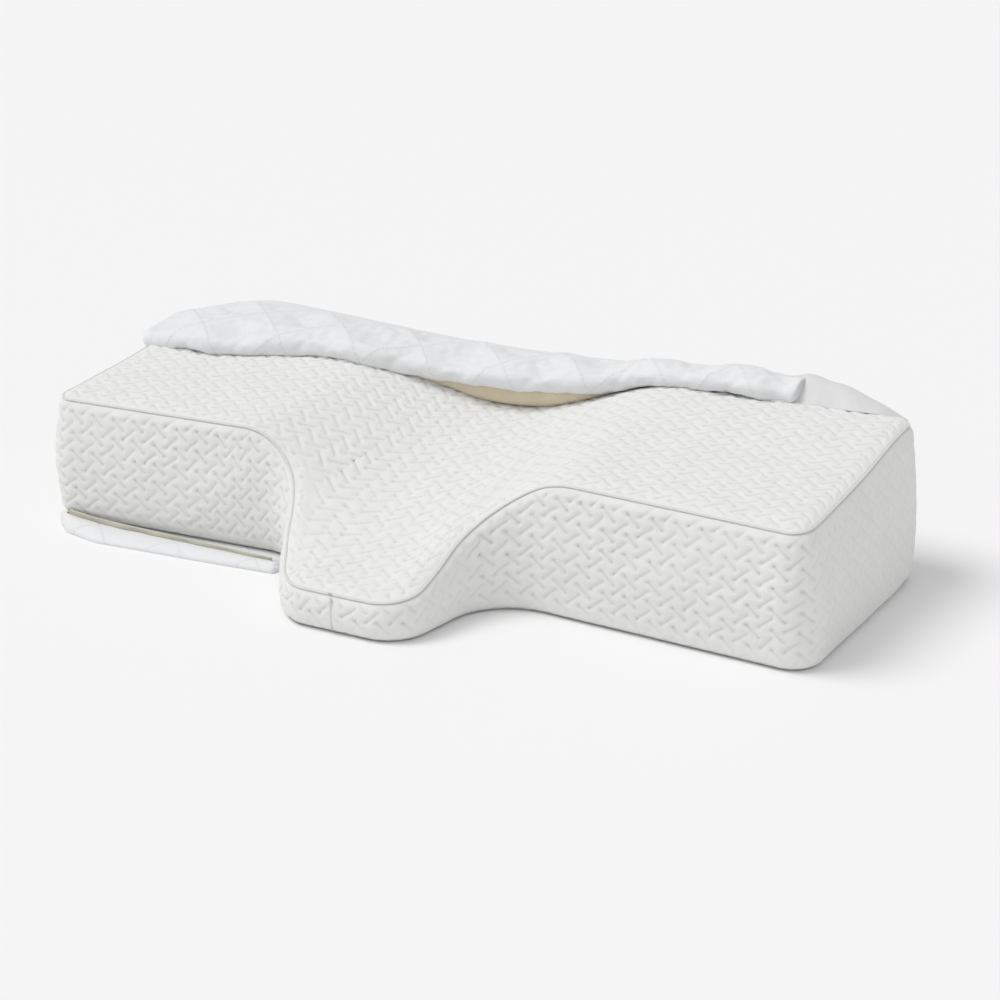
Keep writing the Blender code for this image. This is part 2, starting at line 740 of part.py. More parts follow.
def pull_tab(pivot):
    """A flat tab with an eye at its free end. It lies along the tape, towards the front."""
    data = bpy.data.curves.new("cover_zip_pull_tab", "CURVE")
    data.dimensions = "2D"
    data.fill_mode = "BOTH"
    data.extrude = PULL_THICKNESS / 2
    eye = -PULL_LENGTH + 2.2 * PULL_HALF_WIDTH
    outline = [(PULL_HALF_WIDTH * 0.6, 0.0), (-PULL_HALF_WIDTH * 0.6, 0.0), (-PULL_HALF_WIDTH, eye)]
    for i in range(1, 5):
        turn = math.pi + math.pi * i / 5
        outline.append((PULL_HALF_WIDTH * math.cos(turn), eye + PULL_HALF_WIDTH * math.sin(turn)))
    outline.append((PULL_HALF_WIDTH, eye))
    hole = [
        (PULL_EYE_RADIUS * math.cos(math.tau * i / 8), eye + PULL_EYE_RADIUS * math.sin(math.tau * i / 8))
        for i in range(8)
    ]
    for ring in (outline, hole):
        spline = data.splines.new("POLY")
        spline.points.add(len(ring) - 1)
        for control, (across, along) in zip(spline.points, ring):
            control.co = (across, along, 0.0, 1.0)
        spline.use_cyclic_u = True
    tab = add_object("cover_zip_pull_tab", data, "metal", parent=pivot)
    tab.rotation_euler = (0.0, math.radians(90.0), 0.0)


clear_scene()
PARTS = collection("contoured_neck_pillow")
make_knit_cover()
make_core()
make_seams()
make_knit_zip()
quilt_bottom_panel()
quilt_rear_band()
make_flap()
cover_corner_right()
make_cover_zip()
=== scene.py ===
import math

import bmesh
import bpy
import numpy as np
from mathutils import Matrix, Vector


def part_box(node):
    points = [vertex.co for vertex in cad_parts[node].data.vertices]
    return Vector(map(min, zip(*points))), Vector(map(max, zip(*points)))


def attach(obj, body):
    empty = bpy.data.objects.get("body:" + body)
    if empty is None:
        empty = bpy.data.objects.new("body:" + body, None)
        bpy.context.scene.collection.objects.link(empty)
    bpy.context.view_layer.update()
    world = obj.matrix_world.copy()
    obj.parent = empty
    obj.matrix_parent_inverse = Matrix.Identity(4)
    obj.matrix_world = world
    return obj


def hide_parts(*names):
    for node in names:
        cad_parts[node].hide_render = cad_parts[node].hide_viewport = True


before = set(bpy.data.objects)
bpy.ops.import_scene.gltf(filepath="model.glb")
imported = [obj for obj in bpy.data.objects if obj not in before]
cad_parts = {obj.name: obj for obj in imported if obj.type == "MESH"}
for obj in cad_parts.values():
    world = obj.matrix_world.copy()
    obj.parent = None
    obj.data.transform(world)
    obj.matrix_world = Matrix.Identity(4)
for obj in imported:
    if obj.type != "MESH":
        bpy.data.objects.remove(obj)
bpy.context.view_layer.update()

# ------------------------ the object's dimensions, in metres

HALF_LENGTH = 0.310
TIP_Y, NOTCH_Y, FRONT_Y, REAR_Y = -0.155, -0.055, -0.068, 0.142
TIP_HALF_WIDTH, ROOT_HALF_WIDTH = 0.056, 0.070
TIP_RADIUS, NOTCH_RADIUS, CORNER_RADIUS = 0.034, 0.042, 0.024
EDGE_RADIUS = 0.012
END_DRAFT = 0.008
VALLEY_PROFILE = (
    (-0.155, 0.030), (-0.125, 0.034), (-0.090, 0.042), (-0.055, 0.053),
    (0.000, 0.068), (0.050, 0.080), (0.100, 0.089), (0.142, 0.092),
)
BLOCK_PROFILE = (
    (-0.155, 0.030), (-0.130, 0.040), (-0.107, 0.064), (-0.085, 0.088), (-0.062, 0.098),
    (-0.030, 0.101), (0.037, 0.107), (0.100, 0.116), (0.142, 0.119),
)
SHOULDER_START, SHOULDER_END = 0.010, 0.130
PILLOW_LIFT, HEM_CLEARANCE, HEM_ROUND = 0.0036, 0.0005, 0.0080
TONGUE_LEFT_DROP = (-0.086, -0.070)
END_LIFT = (0.090, 0.120)
REAR_OPENING_HALF = 0.245
LINER_DEPTH, FOAM_DEPTH = 0.0044, 0.0070
SEAM_ANGLE = math.radians(45.0)
SEAM_HALF_GAP, SEAM_TUCK = 0.0003, 0.0022
TOP_SEAM_RADIUS, HEM_SEAM_RADIUS, TIP_SEAM_RADIUS, COIL_RADIUS = 0.0010, 0.0008, 0.0009, 0.0009
TOP_SEAM_SINK, TIP_SEAM_SINK = 0.0004, 0.0006
BOTTOM_THICKNESS, BASE_THICKNESS, BACK_THICKNESS, CORNER_THICKNESS = 0.0024, 0.003, 0.0028, 0.0014
LINING_THICKNESS, TAPE_THICKNESS = 0.0008, 0.0006
KNIT_STEP, CORE_STEP, SEAM_STEP = 0.00145, 0.006, 0.0035
WALL_ROWS = 66

# The knit's strokes: a cell of one falling and one rising stroke, each with its ends, in millimetres,
# and how deep the stitch pulls in at either end.
CELL_U, CELL_V = 18.1, 14.6
STROKES = (((0.0, 0.0), (8.8, -7.6), 1.0, 0.65), ((9.1, 0.0), (18.5, 7.9), 0.75, 0.25))
STROKE_SLOPE = 0.86
GROOVE_WIDTH, CUSHION_WIDTH, PIT_WIDTH = 0.80, 2.7, 1.20
GROOVE_DEPTH, CUSHION_HEIGHT, PIT_DEPTH = 0.00045, 0.0007, 0.0010
TOP_STRETCH = 1.14
TOP_CROWN, CROWN_REACH, WALL_SWELL = 0.0018, 0.030, 0.0030
EASED_REACH, PLAIN_REACH = 0.014, 0.011

FLAP_LEFT_X, FLAP_RIGHT_X = -0.305, 0.215
FLAP_REAR_Y, TUCK_Y = 0.150, 0.134
FLAP_CLEARANCE, FLAP_THICKNESS = 0.0018, 0.0118
FLAP_SAG, FLAP_SAG_SPAN = 0.012, (0.030, 0.200)
QUILT_PITCH = 0.070
QUILT_OFFSETS = (0.020, 0.030)
STITCH_LENGTH = 4.6
FLAP_PUFF, FLAP_PUFF_WIDTH, FLAP_PUFF_SINK = 0.0046, 0.013, 0.0034
BACK_PUFF, BACK_PUFF_WIDTH, BACK_PUFF_SINK = 0.0060, 0.016, 0.0026
BACK_QUILT_SHIFT = 0.013
SIMULATED_FRAMES, SWELL_LIMIT = 20, 0.006
PADDING_PRESSURE, PADDING_SLACK = 4.0, 0.025
# Along the flap, from left to right: where its folded edge lies, how high its back edge stands, how far
# its left end sinks over the pillow's end, and how far the lining hangs below the fold.
HEM_LINE = (
    (-0.305, 0.052), (-0.285, 0.0485), (-0.242, 0.0455), (-0.207, 0.0531), (-0.170, 0.0650),
    (-0.107, 0.0735), (-0.052, 0.0871), (0.000, 0.0900), (0.048, 0.1015), (0.089, 0.1157), (0.215, 0.1185),
)
FLAP_RIDGE = (
    (-0.305, 0.1190), (-0.250, 0.1265), (-0.193, 0.1250), (-0.110, 0.1205), (-0.057, 0.1190),
    (0.013, 0.1195), (0.080, 0.1225), (0.176, 0.1300), (0.215, 0.1325),
)
FLAP_DROOP = ((-0.305, 0.007), (-0.262, 0.0012), (-0.20, 0.0), (0.215, 0.0))
LINING_DROOP = (
    (-0.230, 0.0012), (-0.170, 0.0030), (-0.110, 0.0075), (-0.050, 0.0125), (0.000, 0.0150),
    (0.050, 0.0130), (0.090, 0.0060), (0.125, 0.0008), (0.200, 0.0008),
)
# The soft tongue's left side stands out at its root and in at its tip: (y, shift) pairs.
LEFT_BULGE = (
    (-0.155, 0.008), (-0.128, 0.000), (-0.100, -0.012), (-0.075, -0.017), (-0.040, -0.010), (0.020, 0.0),
)
# In plan, the edge of the cover's bottom panel, from the left end along the front to the right end.
LIP_EDGE = (
    (-0.3050, -0.030), (-0.2990, -0.055), (-0.2930, -0.0735), (-0.2770, -0.0870), (-0.2450, -0.0940),
    (-0.1500, -0.0870), (-0.0960, -0.0820), (-0.0900, -0.0475), (0.0900, -0.0475), (0.2000, -0.0540),
    (0.2960, -0.0560), (0.2990, -0.0400),
)
LIP_BACK_Y = -0.0715
LIP_HEIGHT = ((-0.305, 0.0125), (-0.288, 0.0105), (-0.265, 0.0074), (-0.24, 0.0060), (-0.098, 0.0058))
FRONT_TAPE_Y = -0.0690
FRONT_TAPE_TOP = ((-0.288, 0.0115), (-0.262, 0.0090), (-0.2, 0.0078), (-0.105, 0.0066))
CORNER_RIDGE = ((0.196, 0.1300), (0.2145, 0.1335), (0.245, 0.1290), (0.272, 0.1195), (0.290, 0.1115))
CORNER_FRONT = ((0.196, 0.1210), (0.230, 0.1255), (0.262, 0.1300), (0.290, 0.1340))


# ------------------------ shape functions

def smooth(value, low, high):
    t = np.clip((value - low) / (high - low), 0.0, 1.0)
    return t * t * (3.0 - 2.0 * t)


def mix(a, b, t):
    return a + (b - a) * t


def profile(points, at):
    """A smooth curve through (place, value) points, flat past either end, for an array of places."""
    p = np.array([point[0] for point in points])
    h = np.array([point[1] for point in points])
    at = np.asarray(at, float)
    i = np.clip(np.searchsorted(p, at, side="left") - 1, 0, len(p) - 2)
    before, after = np.maximum(i - 1, 0), np.minimum(i + 2, len(p) - 1)
    slope_1 = (h[i + 1] - h[before]) / (p[i + 1] - p[before])
    slope_2 = (h[after] - h[i]) / (p[after] - p[i])
    step = p[i + 1] - p[i]
    t = np.clip((at - p[i]) / step, 0.0, 1.0)
    return (
        h[i] * (1 + 2 * t) * (1 - t) ** 2
        + step * slope_1 * t * (1 - t) ** 2
        + h[i + 1] * t * t * (3 - 2 * t)
        + step * slope_2 * t * t * (t - 1)
    )


def top_height(x, y):
    """The pillow's top: a valley in the middle, and a block to either side of it."""
    share = smooth(np.abs(x), SHOULDER_START, SHOULDER_END)
    return mix(profile(VALLEY_PROFILE, y), profile(BLOCK_PROFILE, y), share)


def hem_height(x, y):
    """The bottom of the pillow's walls. The tongue and the right front stand almost on the ground."""
    left = smooth(-x, -TONGUE_LEFT_DROP[1], -TONGUE_LEFT_DROP[0])
    return mix(HEM_CLEARANCE, PILLOW_LIFT, np.maximum(left, smooth(y, *END_LIFT)))


def flap_floor(x, y):
    """The underside of the flap, which sags a little over the valley."""
    y = np.minimum(y, REAR_Y)
    sag = FLAP_SAG * (1.0 - smooth(np.abs(x), *FLAP_SAG_SPAN))
    return np.maximum(top_height(x, y), profile(BLOCK_PROFILE, y) - sag) + FLAP_CLEARANCE


def hem_y(x):
    return profile(HEM_LINE, x)


def bulge(points):
    """Moves the tongue's left side by LEFT_BULGE."""
    x, y = points[..., 0], points[..., 1]
    share = smooth(-x, 0.010, 0.060) * (1.0 - smooth(-x, 0.085, 0.170))
    moved = np.array(points, float)
    moved[..., 0] = x + share * profile(LEFT_BULGE, y)
    return moved


def ripple(x, y, length):
    """Gentle unevenness between -1 and 1, with waves of about this length."""
    k = 2 * math.pi / length
    return (
        np.sin(k * (0.93 * x + 0.41 * y) + 0.7)
        + np.sin(k * (-0.38 * x + 0.87 * y) * 1.31 + 2.1)
        + np.sin(k * (0.61 * x - 0.72 * y) * 1.73 + 4.0)
    ) / 3.0


# ------------------------ the pillow's outline and skin

def fillet(before, corner, after, radius, step):
    """The arc that rounds a corner: its points, and their outward normals."""
    into, out = corner - before, after - corner
    into, out = into / np.linalg.norm(into), out / np.linalg.norm(out)
    turn = math.atan2(into[0] * out[1] - into[1] * out[0], into @ out)
    start = corner - into * radius * math.tan(abs(turn) / 2)
    side = math.copysign(1.0, turn)
    centre = start + np.array((-into[1], into[0])) * radius * side
    first = math.atan2(start[1] - centre[1], start[0] - centre[0])
    count = 2 * max(1, round(abs(turn) * radius / step / 2))
    angles = first + turn * np.arange(count + 1) / count
    spokes = np.stack((np.cos(angles), np.sin(angles)), 1)
    return centre + spokes * radius, spokes * side


def straight(a, b, normal_a, normal_b, count):
    """The points after a and before b."""
    t = (np.arange(1, count) / count)[:, None]
    normals = mix(normal_a, normal_b, t)
    return mix(a, b, t), normals / np.linalg.norm(normals, axis=1, keepdims=True)


class Outline:
    """The right half, from the tongue's tip round to the rear centre."""

    def __init__(self, step):
        tip, rear = np.array((0.0, TIP_Y)), np.array((0.0, REAR_Y))
        corners = [
            (np.array((TIP_HALF_WIDTH, TIP_Y)), TIP_RADIUS),
            (np.array((ROOT_HALF_WIDTH, NOTCH_Y)), NOTCH_RADIUS),
            (np.array((HALF_LENGTH, FRONT_Y)), CORNER_RADIUS),
            (np.array((HALF_LENGTH, REAR_Y)), CORNER_RADIUS),
        ]
        places = [tip] + [corner for corner, _ in corners] + [rear]
        points, normals, counts = [tip[None]], [np.array([[0.0, -1.0]])], []
        for i, (corner, radius) in enumerate(corners):
            arc, spokes = fillet(places[i], corner, places[i + 2], radius, step)
            length = np.linalg.norm(arc[0] - points[-1][-1])
            count = max(1, round(length / step))
            between = straight(points[-1][-1], arc[0], normals[-1][-1], spokes[0], count)
            counts += [count, len(arc) - 1]
            points += [between[0], arc]
            normals += [between[1], spokes]
        half = counts[5] // 2
        self.tongue = sum(counts[:3])
        shoulder = counts[3] + counts[4]
        self.front = self.tongue + shoulder + half
        self.end = half + counts[6] + counts[7] // 2
        back = np.array((0.0, 1.0))
        behind_root = np.array((ROOT_HALF_WIDTH, REAR_Y))
        stretches = ((points[-1][-1], behind_root, shoulder), (behind_root, rear, self.tongue))
        for a, b, count in stretches:
            between = straight(a, b, back, back, count)
            points += [between[0], b[None]]
            normals += [between[1], back[None]]
        self.points, self.normals = np.concatenate(points), np.concatenate(normals)
        self.length = curve_length(self.points)


def rim(points, normals, inset, height):
    """Points of the wall or edge of the right half."""
    lean = END_DRAFT * normals[:, 0] ** 2 * height / BLOCK_PROFILE[-1][1]
    moved = points - normals * (inset + lean)[:, None]
    return np.stack((np.maximum(moved[:, 0], 0.0), moved[:, 1], height), 1)


def edge_centre(points, normals):
    """Heights of the centre that the top edge is rounded about."""
    inside = points - normals * EDGE_RADIUS
    return top_height(inside[:, 0], inside[:, 1]) - EDGE_RADIUS


def edge_row(outline, angle, depth):
    """The row of the rounded top edge at this angle above the horizontal, and the heights of its centre."""
    centre = edge_centre(outline.points, outline.normals)
    radius = EDGE_RADIUS - depth
    inset = np.full(len(centre), EDGE_RADIUS - radius * math.cos(angle))
    return rim(outline.points, outline.normals, inset, centre + radius * math.sin(angle)), centre


def mirrored(points):
    return points * np.array((-1.0, 1.0, 1.0))


def whole_loop(right, left=None):
    """A closed loop from the right half's row, and the left half's where it differs."""
    left = right if left is None else left
    return np.concatenate((right, mirrored(left)[-2:0:-1]))


def inner_grid(outline, ring, depth):
    """The top inside its rounded edge, both halves: rows from front to rear, columns from left to right."""
    f, e = outline.front, outline.end
    front, end, rear = ring[: f + 1], ring[f: f + e + 1], ring[f + e:][::-1]
    u = (np.arange(f + 1) / f)[None, :, None]
    v = (np.arange(e + 1) / e)[:, None, None]
    middle = mix(front[0], rear[0], v[:, :, 0])
    ruled = mix(front[None], rear[None], v) + mix(middle[:, None], end[:, None], u)
    grid = ruled - mix(mix(front[0], front[-1], u), mix(rear[0], rear[-1], u), v)
    inside = np.ones(grid.shape[:2], bool)
    inside[[0, -1]] = False
    inside[:, -1] = False
    grid[..., 2] = np.where(inside, top_height(grid[..., 0], grid[..., 1]) - depth, grid[..., 2])
    return np.concatenate((mirrored(grid[:, :0:-1]), grid), 1)


def grid_faces(rows, columns, first=0, closed=False):
    index = np.arange(rows * columns).reshape(rows, columns) + first
    if closed:
        index = np.concatenate((index, index[:, :1]), 1)
    return np.stack((index[:-1, :-1], index[:-1, 1:], index[1:, 1:], index[1:, :-1]), -1).reshape(-1, 4)


def grid_border(rows, columns, first=0, start=0):
    """The indices round a grid's edge, from this column of its first row."""
    index = np.arange(rows * columns).reshape(rows, columns) + first
    border = np.concatenate((index[0], index[1:, -1], index[-1, -2::-1], index[-2:0:-1, 0]))
    return np.roll(border, -start)


def wall_faces(upper, lower):
    """Faces between two closed loops of indices, seen from outside."""
    return np.stack((lower, np.roll(lower, -1), np.roll(upper, -1), upper), 1)


def link_object(name, data):
    made = bpy.data.objects.new(name, data)
    bpy.context.scene.collection.objects.link(made)
    return made


def make_mesh(name, points, faces, outward=False):
    """A smooth piece. Where outward is true, its faces are turned to point out."""
    mesh = bpy.data.meshes.new(name)
    faces = [[int(i) for i in face] for face in faces]
    mesh.from_pydata(np.asarray(points).reshape(-1, 3).tolist(), [], faces)
    if outward:
        fixer = bmesh.new()
        fixer.from_mesh(mesh)
        bmesh.ops.recalc_face_normals(fixer, faces=fixer.faces)
        fixer.to_mesh(mesh)
        fixer.free()
    mesh.update()
    mesh.shade_smooth()
    return link_object(name, mesh)


def closed_sheet(name, upper, lower):
    """A closed sheet between two grids of points."""
    rows, columns = upper.shape[:2]
    count = rows * columns
    loop = grid_border(rows, columns)
    under = loop + count
    faces = [grid_faces(rows, columns), grid_faces(rows, columns, count)[:, ::-1]]
    faces.append(np.stack((loop, under, np.roll(under, -1), np.roll(loop, -1)), 1))
    points = np.concatenate((upper.reshape(-1, 3), lower.reshape(-1, 3)))
    return make_mesh(name, points, np.concatenate(faces))


def curve_length(points):
    """The distance along a line of points, from its start to each one."""
    steps = np.linalg.norm(np.diff(points, axis=0), axis=1)
    return np.concatenate(([0.0], np.cumsum(steps)))


def vertex_normals(piece):
    normals = np.zeros(len(piece.data.vertices) * 3, np.float32)
    piece.data.vertices.foreach_get("normal", normals)
    return normals.reshape(-1, 3)


def set_points(piece, points):
    piece.data.vertices.foreach_set("co", np.asarray(points, np.float32).ravel())
    piece.data.update()


def attribute(piece, name, values):
    values = np.asarray(values, np.float32)
    vector = values.ndim == 2
    made = piece.data.attributes.new(name, "FLOAT_VECTOR" if vector else "FLOAT", "POINT")
    made.data.foreach_set("vector" if vector else "value", values.ravel())


# ------------------------ knit relief

def stroke_field(u, v):
    """Distance in millimetres to the nearest stroke, and the pull, from 0 to 1, of the ends nearby."""
    u, v = np.mod(u, CELL_U), np.mod(v, CELL_V)
    line = np.full(u.shape, 99.0)
    pull = np.zeros(u.shape)
    for (x1, y1), (x2, y2), first, second in STROKES:
        dx, dy = x2 - x1, y2 - y1
        for i in (-1, 0, 1):
            for j in (-1, 0, 1, 2):
                pu, pv = u - x1 - i * CELL_U, v - y1 - j * CELL_V
                t = np.clip((pu * dx + pv * dy) / (dx * dx + dy * dy), 0.0, 1.0)
                line = np.minimum(line, np.hypot(pu - t * dx, pv - t * dy))
                near = first * np.exp(-(pu * pu + pv * pv) / PIT_WIDTH ** 2)
                far = second * np.exp(-((pu - dx) ** 2 + (pv - dy) ** 2) / PIT_WIDTH ** 2)
                pull = np.maximum(pull, np.maximum(near, far))
    return line, pull


def apply_knit(piece, base, u, v, fade, swell):
    """Raises the cushions and sinks the strokes along the surface's normals. u and v are in metres."""
    wander = 0.0009 * ripple(u, v, 0.047) + 0.0004 * ripple(u, v, 0.013)
    line, pit = stroke_field((u + wander) * 1000.0, (v - wander) * 1000.0)
    cushion = 1.0 - np.exp(-((line / CUSHION_WIDTH) ** 2))
    groove = np.exp(-((line / GROOVE_WIDTH) ** 2))
    facing = vertex_normals(piece)
    end_share = smooth(np.abs(facing[:, 0]), 0.80, 0.97)
    fade = fade * (1.0 - 0.55 * end_share)
    pit = pit * (1.0 - smooth(np.abs(facing[:, 0]), 0.25, 0.55) * smooth(facing[:, 2], 0.10, 0.30))
    strength = fade * (1.0 + 0.25 * ripple(u, v, 0.11) + 0.2 * ripple(u, v, 0.021))
    relief = strength * (CUSHION_HEIGHT * cushion - GROOVE_DEPTH * groove - PIT_DEPTH * pit)
    relief += 0.0006 * ripple(u, v, 0.083) * fade - 0.0005 + swell
    set_points(piece, base + facing * relief[:, None])
    attribute(piece, "fabric", np.stack((u * 1000, v * 1000, np.zeros_like(u)), 1))
    # Painted shade: how much the colour darkens in the grooves and stitch pits, where shade falls.
    attribute(piece, "painted_groove_shade", np.clip(0.75 * groove + 0.75 * pit, 0, 1) * fade)


def relax(points, faces, weight, rounds):
    """Eases the points towards their neighbours' mean, by each point's weight."""
    ends = np.concatenate([faces[:, [i, (i + 1) % 4]] for i in range(4)])
    ends = np.unique(np.sort(ends, axis=1), axis=0)
    ends = np.concatenate((ends, ends[:, ::-1]))
    count = np.bincount(ends[:, 0], minlength=len(points))[:, None]
    for _ in range(rounds):
        mean = np.stack([np.bincount(ends[:, 0], points[ends[:, 1], k], len(points)) for k in range(3)], 1)
        points = points + 0.7 * weight[:, None] * (mean / np.maximum(count, 1) - points)
    return points


def rim_distance(points, ring):
    """Distance in plan from each point to a ring of the right half or to its mirror image."""
    plan = np.stack((np.abs(points[:, 0]), points[:, 1]), 1)
    found = np.full(len(plan), 9.0)
    for spot in ring[::6, :2]:
        found = np.minimum(found, np.hypot(plan[:, 0] - spot[0], plan[:, 1] - spot[1]))
    return found


def make_knit_top(step):
    outline = Outline(step)
    rows = max(2, round(EDGE_RADIUS * (math.pi / 2 - SEAM_ANGLE) / step))
    angles = np.linspace(math.pi / 2, SEAM_ANGLE + SEAM_HALF_GAP / EDGE_RADIUS, rows + 1)
    ring, _ = edge_row(outline, angles[0], 0.0)
    grid = inner_grid(outline, ring, 0.0)
    height, width = grid.shape[:2]
    u, v = [grid[..., 0].ravel()], [grid[..., 1].ravel()]
    away = rim_distance(grid.reshape(-1, 3), ring)
    tongue_left = smooth(-u[0], 0.030, 0.050) * (1 - smooth(-u[0], 0.120, 0.150))
    tongue_left = tongue_left * smooth(-v[0], 0.030, 0.060)
    fade = [1.0 - 0.9 * tongue_left * np.exp(-((away / PLAIN_REACH) ** 2))]
    swell = [TOP_CROWN * (1 - np.exp(-away / CROWN_REACH))]
    ease = [np.exp(-((away / EASED_REACH) ** 2))]
    points, faces = [grid.reshape(-1, 3)], [grid_faces(height, width)]
    previous, count = grid_border(height, width, start=outline.front), height * width
    normals = np.concatenate((outline.normals, (outline.normals * (-1, 1))[-2:0:-1]))
    flat = whole_loop(ring)
    tuck = angles[-1]
    for angle in [*angles[1:], tuck]:
        last = angle == tuck and len(points) == rows + 1
        loop = whole_loop(edge_row(outline, angle, SEAM_TUCK if last else 0.0)[0])
        points.append(loop)
        current = np.arange(len(loop)) + count
        count += len(loop)
        faces.append(wall_faces(previous, current))
        run = EDGE_RADIUS * (math.pi / 2 - angle)
        u.append(flat[:, 0] + normals[:, 0] * run)
        v.append(flat[:, 1] + normals[:, 1] * run)
        to_seam = EDGE_RADIUS * (angle - tuck)
        fade.append(np.full(len(loop), float(smooth(to_seam, 0.0008, 0.0065))))
        swell.append(np.zeros(len(loop)))
        ease.append(np.full(len(loop), float(smooth(to_seam, 0.0010, 0.0060))))
        previous = current
    faces = np.concatenate(faces)
    points = relax(bulge(np.concatenate(points)), faces, np.concatenate(ease), 36)
    piece = make_mesh("knit_top", points, faces)
    v = np.concatenate(v) * TOP_STRETCH
    apply_knit(piece, points, np.concatenate(u), v, np.concatenate(fade), np.concatenate(swell))
    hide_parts("knit_top_panel")
    dress(piece, KNIT)


def make_knit_band(name, side, replaced, step):
    """One side's wall, from the top seam down to its rounded hem. side is 1 on the right, -1 on the left."""
    outline = Outline(step)
    keep = (outline.points[:, 1] < REAR_Y - 1e-4) | (outline.points[:, 0] > REAR_OPENING_HALF)
    points, normals, length = outline.points[keep], outline.normals[keep], outline.length[keep]
    centre = edge_centre(points, normals)
    base = hem_height(points[:, 0] * side, points[:, 1])
    foot = np.maximum(base, np.where(base < PILLOW_LIFT, base + 0.001, PILLOW_LIFT))
    start = SEAM_ANGLE - SEAM_HALF_GAP / EDGE_RADIUS
    rows, v, to_seam = [], [], []

    def row(inset, height, rise, away):
        rows.append(rim(points, normals, np.broadcast_to(inset, height.shape), height))
        v.append(np.broadcast_to(rise, height.shape))
        to_seam.append(np.broadcast_to(away, height.shape))

    for angle, depth in [(start, SEAM_TUCK)] + [(a, 0.0) for a in np.linspace(start, 0.0, 7)]:
        radius = EDGE_RADIUS - depth
        inset, height = EDGE_RADIUS - radius * math.cos(angle), centre + radius * math.sin(angle)
        row(inset, height, centre + EDGE_RADIUS * angle, EDGE_RADIUS * (start - angle))
    low = base + HEM_ROUND
    for i in range(1, WALL_ROWS + 1):
        height = mix(centre, low, i / WALL_ROWS)
        row(0.0, height, height, EDGE_RADIUS * start + centre - height)
    for angle in np.radians(np.linspace(12.0, 90.0, 8)):
        height = base + HEM_ROUND * (1 - math.sin(angle))
        row(HEM_ROUND * (1 - math.cos(angle)), height, low - HEM_ROUND * angle, 1.0)
    row(1.6 * HEM_ROUND, foot, low - HEM_ROUND * 3, 1.0)
    grid = np.stack(rows)
    faces = grid_faces(*grid.shape[:2])
    if side < 0:
        grid = mirrored(grid)
        faces = faces[:, ::-1]
    u = np.broadcast_to(length * side, grid.shape[:2]).ravel()
    rise = np.stack(v).ravel()
    away = np.stack(to_seam).ravel()
    above = (np.stack(v) - low).ravel()
    fade = smooth(away, 0.0008, 0.0065) * mix(0.35, 1.0, smooth(above, -0.004, 0.007))
    fade = fade * mix(0.25, 1.0, smooth(np.abs(u), 0.0005, 0.006))
    grid = bulge(grid)
    tall = np.stack([centre - low] * len(grid)).ravel()
    share = np.clip(above / np.maximum(tall, 0.01), 0.0, 1.0)
    swell = WALL_SWELL * np.sin(math.pi * share) * smooth(tall, 0.0, 0.06)
    piece = make_mesh(name, grid, faces[:, ::-1])
    apply_knit(piece, grid.reshape(-1, 3), u, rise, fade, swell)
    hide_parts(replaced)
    dress(piece, KNIT)


# ------------------------ thick sheets, cords and zips

def thick_sheet(name, grid, out, inward):
    """A closed sheet. Its surface is the grid raised by out, and its underside lies inward below the grid."""
    rows, columns = grid.shape[:2]
    along = np.gradient(grid, axis=0)
    across = np.gradient(grid, axis=1)
    normal = np.cross(across, along)
    normal /= np.maximum(np.linalg.norm(normal, axis=2, keepdims=True), 1e-9)
    border = np.zeros((rows, columns))
    border[[0, -1]] = 1.0
    border[:, [0, -1]] = 1.0
    inward = np.where(border > 0, inward * 0.5, inward)
    out = np.where(border > 0, np.minimum(out, 0.0) - 0.25 * inward, out)
    return closed_sheet(name, grid + normal * out[..., None], grid - normal * inward[..., None])


def quilting(a, b, height, line_width):
    """Puffs between two crossing families of stitch lines, for developed coordinates in metres."""
    waves = []
    for coordinate, offset in zip((a + b, a - b), QUILT_OFFSETS):
        to_line = np.abs(np.mod(coordinate - offset + QUILT_PITCH / 2, QUILT_PITCH) - QUILT_PITCH / 2)
        waves.append(1.0 - np.exp(-to_line / math.sqrt(2) / line_width))
    return height * waves[0] * waves[1]


def sheet_coordinates(piece, a, b):
    """Developed coordinates in millimetres, for both faces of a thick sheet."""
    flat = np.stack((a.ravel() * 1000, b.ravel() * 1000, np.zeros(a.size)), 1)
    attribute(piece, "fabric", np.concatenate((flat, flat)))


def cord(name, points, radius, closed=False, sides=8):
    """A cord as a mesh, with its length as a fabric coordinate."""
    points = np.asarray(points, float)
    ahead = np.roll(points, -1, 0) - np.roll(points, 1, 0)
    if not closed:
        ahead[0], ahead[-1] = points[1] - points[0], points[-1] - points[-2]
    ahead /= np.linalg.norm(ahead, axis=1, keepdims=True)
    side = np.cross(ahead, (0.0, 0.0, 1.0))
    flat = np.linalg.norm(side, axis=1) < 1e-3
    side[flat] = np.cross(ahead[flat], (1.0, 0.0, 0.0))
    side /= np.linalg.norm(side, axis=1, keepdims=True)
    up = np.cross(side, ahead)
    turn = np.linspace(0.0, 2 * math.pi, sides, endpoint=False)
    rings = points[:, None] + radius * (
        np.cos(turn)[None, :, None] * side[:, None] + np.sin(turn)[None, :, None] * up[:, None]
    )
    count = len(points)
    faces = grid_faces(count, sides, closed=True).tolist()
    first, last = np.arange(sides), np.arange(sides) + (count - 1) * sides
    faces += wall_faces(first, last).tolist() if closed else [first.tolist(), last[::-1].tolist()]
    piece = make_mesh(name, rings, faces, outward=True)
    run = np.repeat(curve_length(points), sides)
    around = np.tile(turn, count)
    attribute(piece, "fabric", np.stack((run * 1000, around, np.zeros_like(run)), 1))
    return piece


def top_seam_line():
    outline = Outline(SEAM_STEP)
    return bulge(whole_loop(edge_row(outline, SEAM_ANGLE, TOP_SEAM_SINK)[0]))


